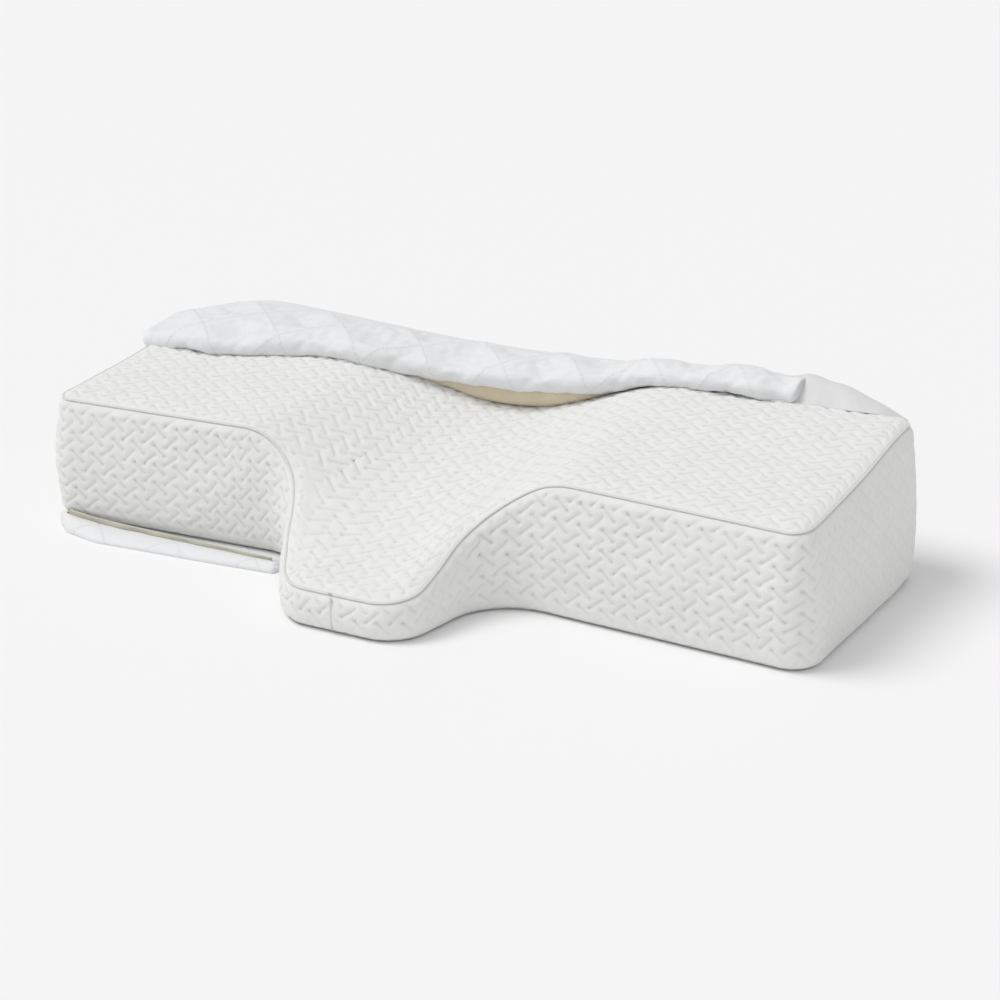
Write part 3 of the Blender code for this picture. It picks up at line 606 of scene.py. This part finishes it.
def hem_seam_line():
    outline = Outline(SEAM_STEP)
    rows = []
    for side in (1.0, -1.0):
        base = hem_height(outline.points[:, 0] * side, outline.points[:, 1])
        inset = np.full(len(base), 0.75 * HEM_ROUND)
        rows.append(rim(outline.points, outline.normals, inset, base + 0.09 * HEM_ROUND))
    return bulge(whole_loop(*rows))


# ------------------------ materials

def node(tree, kind, inputs=(), **settings):
    made = tree.nodes.new(kind)
    for key, value in settings.items():
        setattr(made, key, value)
    for key, value in dict(inputs).items():
        if isinstance(value, bpy.types.NodeSocket):
            tree.links.new(value, made.inputs[key])
        else:
            made.inputs[key].default_value = value
    return made


def calc(tree, operation, *values):
    return node(tree, "ShaderNodeMath", dict(enumerate(values)), operation=operation).outputs[0]


def fabric_axes(tree):
    source = node(tree, "ShaderNodeAttribute", attribute_name="fabric").outputs["Vector"]
    axes = node(tree, "ShaderNodeSeparateXYZ", {0: source}).outputs
    return source, axes[0], axes[1]


def noise(tree, vector, scale, detail=2.0):
    made = node(tree, "ShaderNodeTexNoise", {"Vector": vector, "Scale": scale, "Detail": detail})
    return made.outputs[0]


def wave(tree, coordinate, length):
    return calc(tree, "SINE", calc(tree, "MULTIPLY", coordinate, 2 * math.pi / length))


def remap(tree, value, low, high, low_result, high_result):
    values = {"Value": value, 1: low, 2: high, 3: low_result, 4: high_result}
    return node(tree, "ShaderNodeMapRange", values).outputs[0]


def blend_colour(tree, share, low, high):
    made = node(tree, "ShaderNodeMix", {"Factor": share}, data_type="RGBA", blend_type="MIX")
    for socket, colour in (("A", low), ("B", high)):
        target = [s for s in made.inputs if s.name == socket and s.type == "RGBA"][0]
        if isinstance(colour, bpy.types.NodeSocket):
            tree.links.new(colour, target)
        else:
            target.default_value = (*colour, 1.0)
    return [s for s in made.outputs if s.type == "RGBA"][0]


def finish_material(name, roughness, build, metallic=0.0, sheen=0.0, coat=0.0):
    """build(tree) gives the colour, the bump height, its distance in metres and its strength."""
    made = bpy.data.materials.new(name)
    made.use_nodes = True
    tree = made.node_tree
    shader = tree.nodes["Principled BSDF"]
    shader.inputs["Roughness"].default_value = roughness
    shader.inputs["Metallic"].default_value = metallic
    shader.inputs["Sheen Weight"].default_value = sheen
    shader.inputs["Coat Weight"].default_value = coat
    colour, height, distance, strength = build(tree)
    tree.links.new(colour, shader.inputs["Base Color"])
    bump = node(tree, "ShaderNodeBump", {"Height": height, "Distance": distance, "Strength": strength})
    tree.links.new(bump.outputs[0], shader.inputs["Normal"])
    return made


def stroke_lines(tree, u, v):
    """1 along the centre of each knit stroke, 0 between them."""
    wide = CELL_U / 2
    cell = calc(tree, "DIVIDE", u, CELL_U)
    cell = calc(tree, "MULTIPLY", calc(tree, "FRACT", cell), CELL_U)
    rising = calc(tree, "GREATER_THAN", cell, wide)
    along = calc(tree, "SUBTRACT", cell, calc(tree, "MULTIPLY", rising, wide))
    slope = calc(tree, "MULTIPLY_ADD", rising, 2 * STROKE_SLOPE, -STROKE_SLOPE)
    off = calc(tree, "SUBTRACT", v, calc(tree, "MULTIPLY", slope, along))
    off = calc(tree, "WRAP", off, CELL_V / 2, -CELL_V / 2)
    near = calc(tree, "MULTIPLY", calc(tree, "ABSOLUTE", off), 1 / math.hypot(1.0, STROKE_SLOPE))
    squared = calc(tree, "POWER", calc(tree, "DIVIDE", near, 0.55), 2.0)
    line = calc(tree, "EXPONENT", calc(tree, "MULTIPLY", squared, -1.0))
    edge = calc(tree, "MINIMUM", along, calc(tree, "SUBTRACT", wide, along))
    return calc(tree, "MULTIPLY", line, remap(tree, edge, 0.2, 1.5, 0.0, 1.0))


def knit_material(name, colour, dark):
    def build(tree):
        source, u, v = fabric_axes(tree)
        painted_groove_shade = node(tree, "ShaderNodeAttribute", attribute_name="painted_groove_shade").outputs["Fac"]
        mottle = noise(tree, source, 0.045, 3.0)
        # Painted shade: darker in the grooves and pits and along each stroke's centre. The mottle is the
        # knit's own uneven tone.
        lines = calc(tree, "MULTIPLY", stroke_lines(tree, u, v), painted_groove_shade)
        shade = calc(tree, "MULTIPLY_ADD", mottle, 0.16, -0.05)
        shade = calc(tree, "MULTIPLY_ADD", painted_groove_shade, 0.26, shade)
        shade = calc(tree, "MULTIPLY_ADD", lines, 0.15, shade)
        tint = blend_colour(tree, calc(tree, "MINIMUM", shade, 1.0), colour, dark)
        wales = calc(tree, "MULTIPLY", wave(tree, u, 1.25), wave(tree, v, 0.95))
        fuzz = noise(tree, source, 1.1, 3.0)
        height = calc(tree, "MULTIPLY_ADD", wales, 0.10, calc(tree, "MULTIPLY", fuzz, 0.55))
        height = calc(tree, "MULTIPLY_ADD", lines, -0.55, height)
        return tint, height, 0.00045, 0.8
    return finish_material(name, 0.88, build, sheen=0.12)


def quilt_material(name, colour, dark):
    def build(tree):
        source, a, b = fabric_axes(tree)
        pitch = QUILT_PITCH * 1000
        stitched = None
        for way, offset, other in zip(("ADD", "SUBTRACT"), QUILT_OFFSETS, ("SUBTRACT", "ADD")):
            coordinate = calc(tree, "SUBTRACT", calc(tree, way, a, b), offset * 1000)
            near = calc(tree, "ABSOLUTE", calc(tree, "WRAP", coordinate, pitch / 2, -pitch / 2))
            line = remap(tree, near, 0.5, 1.3, 1.0, 0.0)
            dash = wave(tree, calc(tree, other, a, b), STITCH_LENGTH)
            line = calc(tree, "MULTIPLY", line, remap(tree, dash, -0.5, 0.1, 0.35, 1.0))
            stitched = line if stitched is None else calc(tree, "MAXIMUM", stitched, line)
        mottle = noise(tree, source, 0.03, 3.0)
        shade = calc(tree, "MULTIPLY_ADD", mottle, 0.25, -0.08)
        shade = calc(tree, "MULTIPLY_ADD", stitched, 0.22, shade)
        tint = blend_colour(tree, shade, colour, dark)
        stretched = node(tree, "ShaderNodeMapping", {"Vector": source, "Scale": (0.04, 0.22, 1.0)})
        creases = noise(tree, stretched.outputs[0], 1.0, 3.0)
        ribs = wave(tree, b, 1.6)
        height = calc(tree, "MULTIPLY_ADD", ribs, 0.04, creases)
        height = calc(tree, "MULTIPLY_ADD", stitched, -0.4, height)
        return tint, height, 0.0010, 0.7
    return finish_material(name, 0.72, build, sheen=0.15)


def woven_material(name, colour, dark, pitch, roughness=0.8, strength=0.6):
    def build(tree):
        source, a, b = fabric_axes(tree)
        mottle = noise(tree, source, 0.08, 3.0)
        twill = wave(tree, calc(tree, "ADD", a, b), pitch)
        cross = wave(tree, calc(tree, "SUBTRACT", a, b), pitch * 0.7)
        tint = blend_colour(tree, mottle, colour, dark)
        height = calc(tree, "MULTIPLY_ADD", twill, 0.5, calc(tree, "MULTIPLY", cross, 0.25))
        return tint, height, 0.0004, strength
    return finish_material(name, roughness, build, sheen=0.1)


def solid_material(name, colour, dark, roughness, scale, squeeze=(1.0, 1.0, 1.0), distance=0.0002, **shine):
    """For pieces with no fabric coordinates: grain in the object's own space."""
    def build(tree):
        place = node(tree, "ShaderNodeTexCoord").outputs["Object"]
        place = node(tree, "ShaderNodeMapping", {"Vector": place, "Scale": squeeze}).outputs[0]
        grain = noise(tree, place, scale, 4.0)
        patches = noise(tree, place, scale * 0.08, 2.0)
        tint = blend_colour(tree, patches, colour, dark)
        return tint, grain, distance, 0.5
    return finish_material(name, roughness, build, **shine)


# The darker colour is reached by the knit's own mottle and by painted shade in its grooves.
KNIT = knit_material("knit_jacquard", (0.82, 0.82, 0.81), (0.44, 0.44, 0.43))
KNIT_PLAIN = solid_material("knit_plain", (0.85, 0.85, 0.84), (0.74, 0.74, 0.73), 0.9, 900.0)
QUILT = quilt_material("quilted_cotton", (0.785, 0.79, 0.80), (0.62, 0.63, 0.65))
SATIN = woven_material("cover_end_satin", (0.78, 0.78, 0.79), (0.68, 0.68, 0.69), 1.1, 0.5, 0.3)
LINING = woven_material("cream_lining", (0.84, 0.76, 0.58), (0.74, 0.64, 0.46), 1.3)
# The front tape's cream cloth is darkened to olive: painted shade of the gap under the knit's front edge.
CREAM_TAPE_PAINTED_SHADE = woven_material("front_tape_cloth", (0.70, 0.69, 0.57), (0.60, 0.59, 0.48), 1.2)
TAPE = solid_material("zip_tape_weave", (0.70, 0.64, 0.50), (0.60, 0.54, 0.42), 0.8, 1400.0, (1, 3, 1))
THREAD = woven_material("seam_thread", (0.90, 0.90, 0.89), (0.80, 0.80, 0.79), 1.6, 0.6, 0.8)
LINER = woven_material("liner_jersey", (0.80, 0.80, 0.78), (0.70, 0.70, 0.68), 1.4)
FOAM = solid_material("slow_foam", (0.84, 0.78, 0.60), (0.76, 0.69, 0.50), 0.95, 700.0, distance=0.0004)
COIL = solid_material("zip_coil_nylon", (0.80, 0.80, 0.79), (0.70, 0.70, 0.69), 0.35, 800.0, coat=0.2)
METAL = solid_material(
    "zip_nickel", (0.60, 0.60, 0.62), (0.45, 0.45, 0.47), 0.28, 1500.0, (1, 1, 12), metallic=1.0,
)


def dress(piece, material, body="pillow"):
    piece.data.materials.clear()
    piece.data.materials.append(material)
    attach(piece, body)


# ------------------------ the pillow

make_knit_top(KNIT_STEP)
make_knit_band("knit_band_right", 1.0, "knit_side_band_right", KNIT_STEP)
make_knit_band("knit_band_left", -1.0, "knit_side_band_left", KNIT_STEP)

tip_low, tip_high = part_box("tongue_tip_seam")
tip_heights = mix(tip_low.z, tip_high.z, np.linspace(-0.05, 1.05, 12))
tip_seam_line = [(0.0, TIP_Y + TIP_SEAM_SINK, height) for height in tip_heights]
for name, line, radius, closed, replaced in (
    ("top_seam_cord", top_seam_line(), TOP_SEAM_RADIUS, True, "knit_top_seam"),
    ("bottom_seam_cord", hem_seam_line(), HEM_SEAM_RADIUS, True, "knit_bottom_seam"),
    ("tip_seam_cord", tip_seam_line, TIP_SEAM_RADIUS, False, "tongue_tip_seam"),
):
    seam = cord(name, line, radius, closed)
    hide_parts(replaced)
    dress(seam, THREAD)


def core_piece(name, depth, replaced, material):
    """A closed inner body: the same skin at this depth below the knit."""
    outline = Outline(CORE_STEP)
    ring, centre = edge_row(outline, math.pi / 2, depth)
    grid = inner_grid(outline, ring, depth)
    height, width = grid.shape[:2]
    foot = PILLOW_LIFT + depth
    points, faces = [grid.reshape(-1, 3)], [grid_faces(height, width)]
    previous, count = grid_border(height, width, start=outline.front), height * width
    rings = [edge_row(outline, a, depth)[0] for a in np.radians((60.0, 30.0, 0.0))]
    for share in (0.75, 0.5, 0.25, 0.0):
        level = mix(foot + HEM_ROUND, centre, share)
        rings.append(rim(outline.points, outline.normals, np.full(len(level), depth), level))
    for right in rings:
        loop = whole_loop(right)
        points.append(loop)
        current = np.arange(len(loop)) + count
        count += len(loop)
        faces.append(wall_faces(previous, current))
        previous = current
    level = np.full(len(outline.points), foot)
    bottom_ring = rim(outline.points, outline.normals, np.full(len(level), HEM_ROUND + depth), level)
    bottom = inner_grid(outline, bottom_ring, depth)
    bottom[..., 2] = foot
    points.append(bottom.reshape(-1, 3))
    faces.append(wall_faces(previous, grid_border(height, width, count, outline.front)))
    faces.append(grid_faces(height, width, count)[:, ::-1])
    points = bulge(np.concatenate(points))
    piece = make_mesh(name, points, np.concatenate(faces))
    attribute(piece, "fabric", points * 1000)
    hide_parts(replaced)
    dress(piece, material)


def make_bottom():
    """The underside, turned in all round under the walls' rounded hem."""
    outline = Outline(CORE_STEP)
    base = hem_height(outline.points[:, 0], outline.points[:, 1])
    ring = rim(outline.points, outline.normals, np.full(len(base), HEM_ROUND), base)
    grid = inner_grid(outline, ring, 0.0)
    grid[..., 2] = hem_height(grid[..., 0], grid[..., 1])
    grid = bulge(grid)
    above = grid + (0.0, 0.0, BOTTOM_THICKNESS)
    piece = closed_sheet("knit_bottom", above, grid)
    attribute(piece, "fabric", np.stack((above, grid)).reshape(-1, 3) * 1000)
    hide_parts("knit_bottom_panel")
    dress(piece, LINER)


make_bottom()
core_piece("foam_block", FOAM_DEPTH, "foam_core", FOAM)
core_piece("liner_skin", LINER_DEPTH, "inner_liner", LINER)


# ------------------------ the quilted cover

def closed_roll(name, grid):
    """A padded roll. Rows run round its section, columns along it, and a fan of faces closes each end."""
    rows, columns = grid.shape[:2]
    index = np.arange(rows * columns).reshape(rows, columns)
    around = np.concatenate((index, index[:1]))
    corners = (around[:-1, :-1], around[:-1, 1:], around[1:, 1:], around[1:, :-1])
    faces = np.stack(corners, -1).reshape(-1, 4).tolist()
    for end, column in enumerate((0, columns - 1)):
        edge = index[:, column]
        faces += [(a, b, rows * columns + end) for a, b in zip(edge, np.roll(edge, -1))]
    centres = grid[:, [0, -1]].mean(axis=0)
    return make_mesh(name, np.concatenate((grid.reshape(-1, 3), centres)), faces, outward=True)


def swell_padding(piece, held):
    """A cloth simulation: the padding pushes the fabric out between the points where it is held."""
    group = piece.vertex_groups.new(name="held")
    for index in np.flatnonzero(held > 0.02):
        group.add([int(index)], float(held[index]), "REPLACE")
    cloth = piece.modifiers.new("padding", "CLOTH")
    for setting, value in dict(
        quality=8, mass=0.25, tension_stiffness=12.0, compression_stiffness=12.0, shear_stiffness=6.0,
        bending_stiffness=0.25, use_pressure=True, uniform_pressure_force=PADDING_PRESSURE,
        shrink_min=-PADDING_SLACK, vertex_group_mass="held", pin_stiffness=1.0,
    ).items():
        setattr(cloth.settings, setting, value)
    cloth.settings.effector_weights.gravity = 0.0
    cloth.collision_settings.use_collision = False
    cloth.point_cache.frame_start = 1
    cloth.point_cache.frame_end = SIMULATED_FRAMES
    scene = bpy.context.scene
    for moment in range(1, SIMULATED_FRAMES + 1):
        scene.frame_set(moment)
    ready = piece.evaluated_get(bpy.context.evaluated_depsgraph_get())
    moved = np.zeros(len(piece.data.vertices) * 3, np.float32)
    ready.data.vertices.foreach_get("co", moved)
    piece.modifiers.clear()
    piece.vertex_groups.clear()
    scene.frame_set(1)
    start = np.zeros_like(moved)
    piece.data.vertices.foreach_get("co", start)
    shift = (moved - start).reshape(-1, 3)
    size = np.linalg.norm(shift, axis=1, keepdims=True)
    shift *= np.minimum(1.0, SWELL_LIMIT / np.maximum(size, 1e-6))
    set_points(piece, start.reshape(-1, 3) + shift)


def subdivide(piece):
    smoother = piece.modifiers.new("smooth", "SUBSURF")
    smoother.levels = 1
    ready = piece.evaluated_get(bpy.context.evaluated_depsgraph_get())
    finer = bpy.data.meshes.new_from_object(ready)
    piece.modifiers.clear()
    piece.data = finer
    piece.data.shade_smooth()


def make_flap():
    """The quilted cover folded back on itself: over its top, round its nose at the fold, and back below."""
    columns, top_rows, nose_rows, under_rows = 190, 36, 8, 14
    x = np.linspace(FLAP_LEFT_X, FLAP_RIGHT_X, columns)
    pinch = smooth(x, 0.186, 0.206) * (1 - 0.55 * smooth(x, 0.206, 0.215))
    thickness = FLAP_THICKNESS * (1 - 0.14 * smooth(x, -0.1, 0.2)) * (1 - 0.35 * pinch)
    radius = thickness / 2
    fold = hem_y(x) + radius + 0.0012 * ripple(x, 0 * x, 0.13) + 0.005 * pinch
    ridge = profile(FLAP_RIDGE, x) - 0.003 * pinch
    rows, run = [], []
    for t in np.linspace(0.0, 1.0, top_rows):
        y = mix(FLAP_REAR_Y, fold, t)
        low = mix(ridge, flap_floor(x, fold) + thickness, t)
        rows.append(np.stack((x, y, low + 0.0040 * 4 * t * (1 - t) * (0.4 + t)), 1))
        run.append(y)
    for angle in np.linspace(0.0, math.pi, nose_rows + 1)[1:]:
        y = fold - radius * math.sin(angle)
        rows.append(np.stack((x, y, flap_floor(x, fold) + radius + radius * math.cos(angle)), 1))
        run.append(fold - radius * angle)
    for t in np.linspace(0.0, 1.0, under_rows + 1)[1:]:
        y = mix(fold, FLAP_REAR_Y, t)
        rows.append(np.stack((x, y, flap_floor(x, y)), 1))
        run.append(fold - radius * math.pi - (y - fold))
    grid, run = np.stack(rows), np.stack(run)
    grid[..., 2] -= profile(FLAP_DROOP, x)
    along = np.broadcast_to(x, run.shape)
    puff = quilting(along, run, FLAP_PUFF, FLAP_PUFF_WIDTH) - FLAP_PUFF_SINK
    creases = 0.0005 * ripple(along, run * 3.0, 0.05) + 0.0002 * ripple(along * 1.6, run, 0.016)
    share = (np.arange(len(grid)) - 4.0) / (top_rows + nose_rows * 0.5)
    shown = smooth(share, 0.0, 0.12) * (1 - smooth(share, 0.92, 1.08))
    shown = shown[:, None] * smooth(np.minimum(along - x[0], x[-1] - along), 0.0, 0.006)
    piece = closed_roll("quilt_flap", grid)
    count = grid.shape[0] * grid.shape[1]
    facing = vertex_normals(piece)[:count]
    lifted = grid.reshape(-1, 3) + facing * ((puff + creases) * shown).reshape(-1, 1)
    set_points(piece, np.concatenate((lifted, grid[:, [0, -1]].mean(axis=0))))
    flat = np.stack((along.ravel() * 1000, run.ravel() * 1000, np.zeros(count)), 1)
    attribute(piece, "fabric", np.concatenate((flat, flat[[0, -1]])))
    stitched = np.clip(1.0 - quilting(along, run, 1.0, 0.010) * 2.2, 0.0, 1.0)
    held = np.maximum(stitched, 1.0 - shown)
    swell_padding(piece, np.concatenate((held.ravel(), (1.0, 1.0))))
    subdivide(piece)
    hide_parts("quilt_top_panel")
    dress(piece, QUILT, "cover_flap")


make_flap()


def make_lining():
    """The strip of lining that hangs below the fold, tucked in behind it."""
    columns = 150
    x = np.linspace(-0.262, 0.205, columns)
    front = hem_y(x) + 0.0045
    room = flap_floor(x, front) - top_height(x, front) - 0.0007
    droop = np.minimum(profile(LINING_DROOP, x), room)
    rows = []
    for back, level in (
        (0.050, -0.3), (0.038, -0.4), (0.028, -0.6), (0.018, -0.85), (0.010, -1.0),
        (0.005, -0.95), (0.002, -0.75), (0.001, -0.4), (0.002, 0.0),
    ):
        y = np.minimum(front + back, TUCK_Y)
        rows.append(np.stack((x, y, flap_floor(x, front + 0.004) - 0.0004 + droop * level), 1))
    dense = []
    for row, following in zip(rows, rows[1:]):
        dense += [row, mix(row, following, 0.5)]
    grid = np.stack(dense + rows[-1:])
    piece = thick_sheet("cream_lining", grid, 0.0, LINING_THICKNESS)
    steps = np.linalg.norm(np.diff(grid, axis=0), axis=2)
    run = np.concatenate((np.zeros((1, columns)), np.cumsum(steps, 0)))
    sheet_coordinates(piece, np.broadcast_to(x, run.shape), run)
    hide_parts("flap_lining")
    dress(piece, LINING, "cover_flap")


make_lining()


def make_back_band():
    """The cover's rear panel, from the floor up to the flap's back edge."""
    outline = Outline(SEAM_STEP)
    keep = (outline.points[:, 1] > REAR_Y - 1e-5) & (np.arange(len(outline.points)) > outline.front)
    points, normals = outline.points[keep], outline.normals[keep]
    offset = 0.0065 * normals[:, 1] ** 4 + 0.0006 + 0.003
    half = points + normals * offset[:, None]
    full = np.concatenate((half, (half * (-1, 1))[-2::-1]))
    run = curve_length(full)
    run = run[-1] / 2 - run
    along = full[:, 0]
    open_end = flap_floor(along, full[:, 1]) - 0.001 - 0.014 * smooth(along, 0.235, 0.285)
    under_flap = profile(FLAP_RIDGE, along) - 0.0045 - 0.006 * smooth(-along, 0.245, 0.286)
    top = mix(under_flap, open_end, smooth(along, 0.185, 0.215))
    rows, v = [], []
    for t in np.linspace(0.0, 1.0, 40):
        z = mix(top, 0.0033, t)
        rows.append(np.stack((full[:, 0], full[:, 1], z), 1))
        v.append(z)
    grid, v = np.stack(rows), np.stack(v)
    a = np.broadcast_to(run, v.shape)
    puff = quilting(a, v + BACK_QUILT_SHIFT, BACK_PUFF, BACK_PUFF_WIDTH) - BACK_PUFF_SINK
    piece = thick_sheet("quilt_back", grid, puff, BACK_THICKNESS)
    sheet_coordinates(piece, a, v + BACK_QUILT_SHIFT)
    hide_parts("quilt_rear_band")
    dress(piece, QUILT)


make_back_band()


def make_corner():
    """The cover's end panel, drawn down from the flap's end to the knit's rear right corner."""
    columns = 60
    x = np.linspace(0.1960, 0.2900, columns)
    ridge = profile(CORNER_RIDGE, x)
    ground = top_height(x, np.full(columns, REAR_Y - 0.020)) + 0.0002
    ground = np.minimum(ground, ridge - 0.0005)
    front = profile(CORNER_FRONT, x)
    rows, run = [], []
    for t in np.linspace(0.0, 1.0, 16):
        y = mix(front, FLAP_REAR_Y - 0.002, t)
        rows.append(np.stack((x, y, mix(ground, ridge, math.sin(t * math.pi / 2) ** 1.3)), 1))
        run.append(np.full(columns, 0.030 * t))
    for t in np.linspace(0.0, 1.0, 9)[1:]:
        y = FLAP_REAR_Y - 0.002 + 0.0042 * math.sin(t * math.pi / 2)
        rows.append(np.stack((x, np.full(columns, y), ridge - 0.016 * (1 - math.cos(t * math.pi / 2))), 1))
        run.append(np.full(columns, 0.030 + 0.014 * t))
    grid, run = np.stack(rows), np.stack(run)
    share = (grid[..., 0] - x[0]) / (x[-1] - x[0])
    fold = 0.0011 * np.sin(share * 21.0 + run * 90.0) * (1 - share) ** 1.5
    piece = thick_sheet("cover_corner_cloth", grid, fold, CORNER_THICKNESS)
    sheet_coordinates(piece, grid[..., 0], run)
    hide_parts("cover_corner_right")
    dress(piece, SATIN)


make_corner()


def make_base():
    """The bottom panel. Past the left block its padded edge swells into a lip."""
    stretches = ((-0.3050, -0.098, 120), (-0.0965, -0.0895, 10), (-0.080, 0.299, 60))
    x = np.concatenate([np.linspace(*stretch) for stretch in stretches])
    edge = np.interp(x, *np.array(LIP_EDGE).T)
    rear = np.full(len(x), 0.1515)
    lip = smooth(x, -0.2985, -0.2905) * (1 - smooth(x, -0.1, -0.094))
    behind = np.maximum(edge + 0.004, mix(edge + 0.004, LIP_BACK_Y, lip))
    height = profile(LIP_HEIGHT, x)
    rows = []
    for t in np.linspace(0.0, 1.0, 22):
        w = t * t * (3 - 2 * t)
        y = mix(edge, behind, w)
        swell = math.sqrt(1 - (1 - min(w / 0.62, 1.0)) ** 2) * (1 - 0.22 * smooth(w, 0.62, 1.0))
        crease = 1 + 0.06 * ripple(x * 2.0, y, 0.045)
        z = mix(0.0012 + 0.0018 * min(1.0, w * 4), 0.0012 + (height - 0.0012) * swell * crease, lip)
        rows.append(np.stack((x, y, z), 1))
    y_back = rows[-1][:, 1]
    for drop, step in ((0.55, 0.0009), (0.0, 0.0012)):
        z = mix(BASE_THICKNESS, rows[21][:, 2], drop)
        rows.append(np.stack((x, y_back + step, z), 1))
    for t in np.linspace(0.0, 1.0, 26)[1:]:
        rows.append(np.stack((x, mix(y_back + 0.0014, rear, t), np.full(len(x), BASE_THICKNESS)), 1))
    grid = np.stack(rows)
    piece = closed_sheet("quilt_base", grid, grid * (1.0, 1.0, 0.0))
    sheet_coordinates(piece, grid[..., 0], grid[..., 1])
    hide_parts("quilt_bottom_panel")
    dress(piece, QUILT)


make_base()


def front_tape():
    """The zip tape that stands along the back of the lip."""
    x = np.linspace(-0.288, -0.105, 90)
    level = profile(FRONT_TAPE_TOP, x)
    rows = []
    for t in np.linspace(0.0, 1.0, 8):
        y = FRONT_TAPE_Y + 0.0006 * t * np.sin(x * 160)
        rows.append(np.stack((x, np.broadcast_to(y, x.shape), mix(level, 0.0040, t)), 1))
    grid = np.stack(rows)
    piece = thick_sheet("front_zip_tape", grid, 0.0, TAPE_THICKNESS)
    sheet_coordinates(piece, grid[..., 0], grid[..., 2])
    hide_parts("cover_zip_tape_front")
    # Painted shade: the tape's cream is darkened to the shade of the gap it sits in.
    dress(piece, CREAM_TAPE_PAINTED_SHADE)


front_tape()


def upper_zip():
    """The zip half on the flap's back edge, hanging between the knit and the back panel."""
    x = np.linspace(-0.255, 0.205, 100)
    level = flap_floor(x, np.full(len(x), REAR_Y)) - 0.0015
    rows = [np.stack((x, np.full(len(x), 0.1442), level - drop), 1) for drop in np.linspace(0.0, 0.0075, 5)]
    grid = np.stack(rows)
    strip = thick_sheet("upper_zip_tape", grid, 0.0, TAPE_THICKNESS)
    sheet_coordinates(strip, grid[..., 0], grid[..., 2])
    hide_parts("cover_zip_tape_upper")
    dress(strip, LINING, "cover_flap")
    line = np.stack((x, np.full(len(x), 0.1460), level - 0.0072), 1)
    coil = cord("upper_zip_coil", line, COIL_RADIUS)
    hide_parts("cover_zip_coil_upper")
    dress(coil, COIL, "cover_flap")


upper_zip()

# ------------------------ zips and the CAD pieces that stay

for names, material in (
    (("knit_rear_band_upper", "knit_rear_band_lower"), KNIT_PLAIN),
    (("knit_zip_tape_upper", "knit_zip_tape_lower", "cover_zip_tape_end"), TAPE),
    (("knit_zip_coil", "cover_zip_coil_end"), COIL),
    (("knit_zip_stop_left", "knit_zip_stop_right", "knit_zip_slider", "cover_zip_stop_front",
      "cover_zip_stop_rear", "cover_zip_slider", "cover_zip_pull_tab"), METAL),
):
    for name in names:
        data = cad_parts[name].data
        data.materials.clear()
        data.materials.append(material)

# ------------------------ floor, light and camera

FLOOR_HALF = 6.0
CAMERA_PLACE, CAMERA_LENS = (0.839, -1.434, 0.654), 88.8
CAMERA_AZIMUTH, CAMERA_ELEVATION = math.radians(29.0), math.radians(20.07)
SKY_STRENGTH = 0.60


def make_floor():
    mesh = bpy.data.meshes.new("floor")
    corners = [(x * FLOOR_HALF, y * FLOOR_HALF, 0.0) for x, y in ((-1, -1), (1, -1), (1, 1), (-1, 1))]
    mesh.from_pydata(corners, [], [(0, 1, 2, 3)])
    made = bpy.data.materials.new("floor_paper")
    made.use_nodes = True
    shader = made.node_tree.nodes["Principled BSDF"]
    shader.inputs["Base Color"].default_value = (0.90, 0.90, 0.90, 1.0)
    shader.inputs["Roughness"].default_value = 0.95
    mesh.materials.append(made)
    link_object("floor", mesh)


def soft_sun(name, place, angle, strength):
    data = bpy.data.lights.new(name, "SUN")
    data.angle = angle
    data.energy = strength
    light = link_object(name, data)
    light.location = place
    light.rotation_mode = "QUATERNION"
    light.rotation_quaternion = (-Vector(place)).to_track_quat("-Z", "Y")


make_floor()
soft_sun("key_left", (-1.40, -0.80, 2.70), math.radians(30.0), 1.42)
soft_sun("fill_front", (1.80, -2.10, 1.17), math.radians(90.0), 0.22)

world = bpy.data.worlds.new("studio")
bpy.context.scene.world = world
world.use_nodes = True
world.node_tree.nodes["Background"].inputs["Color"].default_value = (1.0, 1.0, 1.0, 1.0)
world.node_tree.nodes["Background"].inputs["Strength"].default_value = SKY_STRENGTH
bpy.context.scene.view_settings.view_transform = "Standard"

camera_data = bpy.data.cameras.new("camera")
camera_data.sensor_width = 36.0
camera_data.lens = CAMERA_LENS
camera_data.clip_end = 50.0
camera = link_object("camera", camera_data)
level = math.cos(CAMERA_ELEVATION)
back = Vector((
    math.sin(CAMERA_AZIMUTH) * level, -math.cos(CAMERA_AZIMUTH) * level, math.sin(CAMERA_ELEVATION),
))
camera.location = CAMERA_PLACE
camera.rotation_mode = "QUATERNION"
camera.rotation_quaternion = (-back).to_track_quat("-Z", "Y")
bpy.context.scene.camera = camera
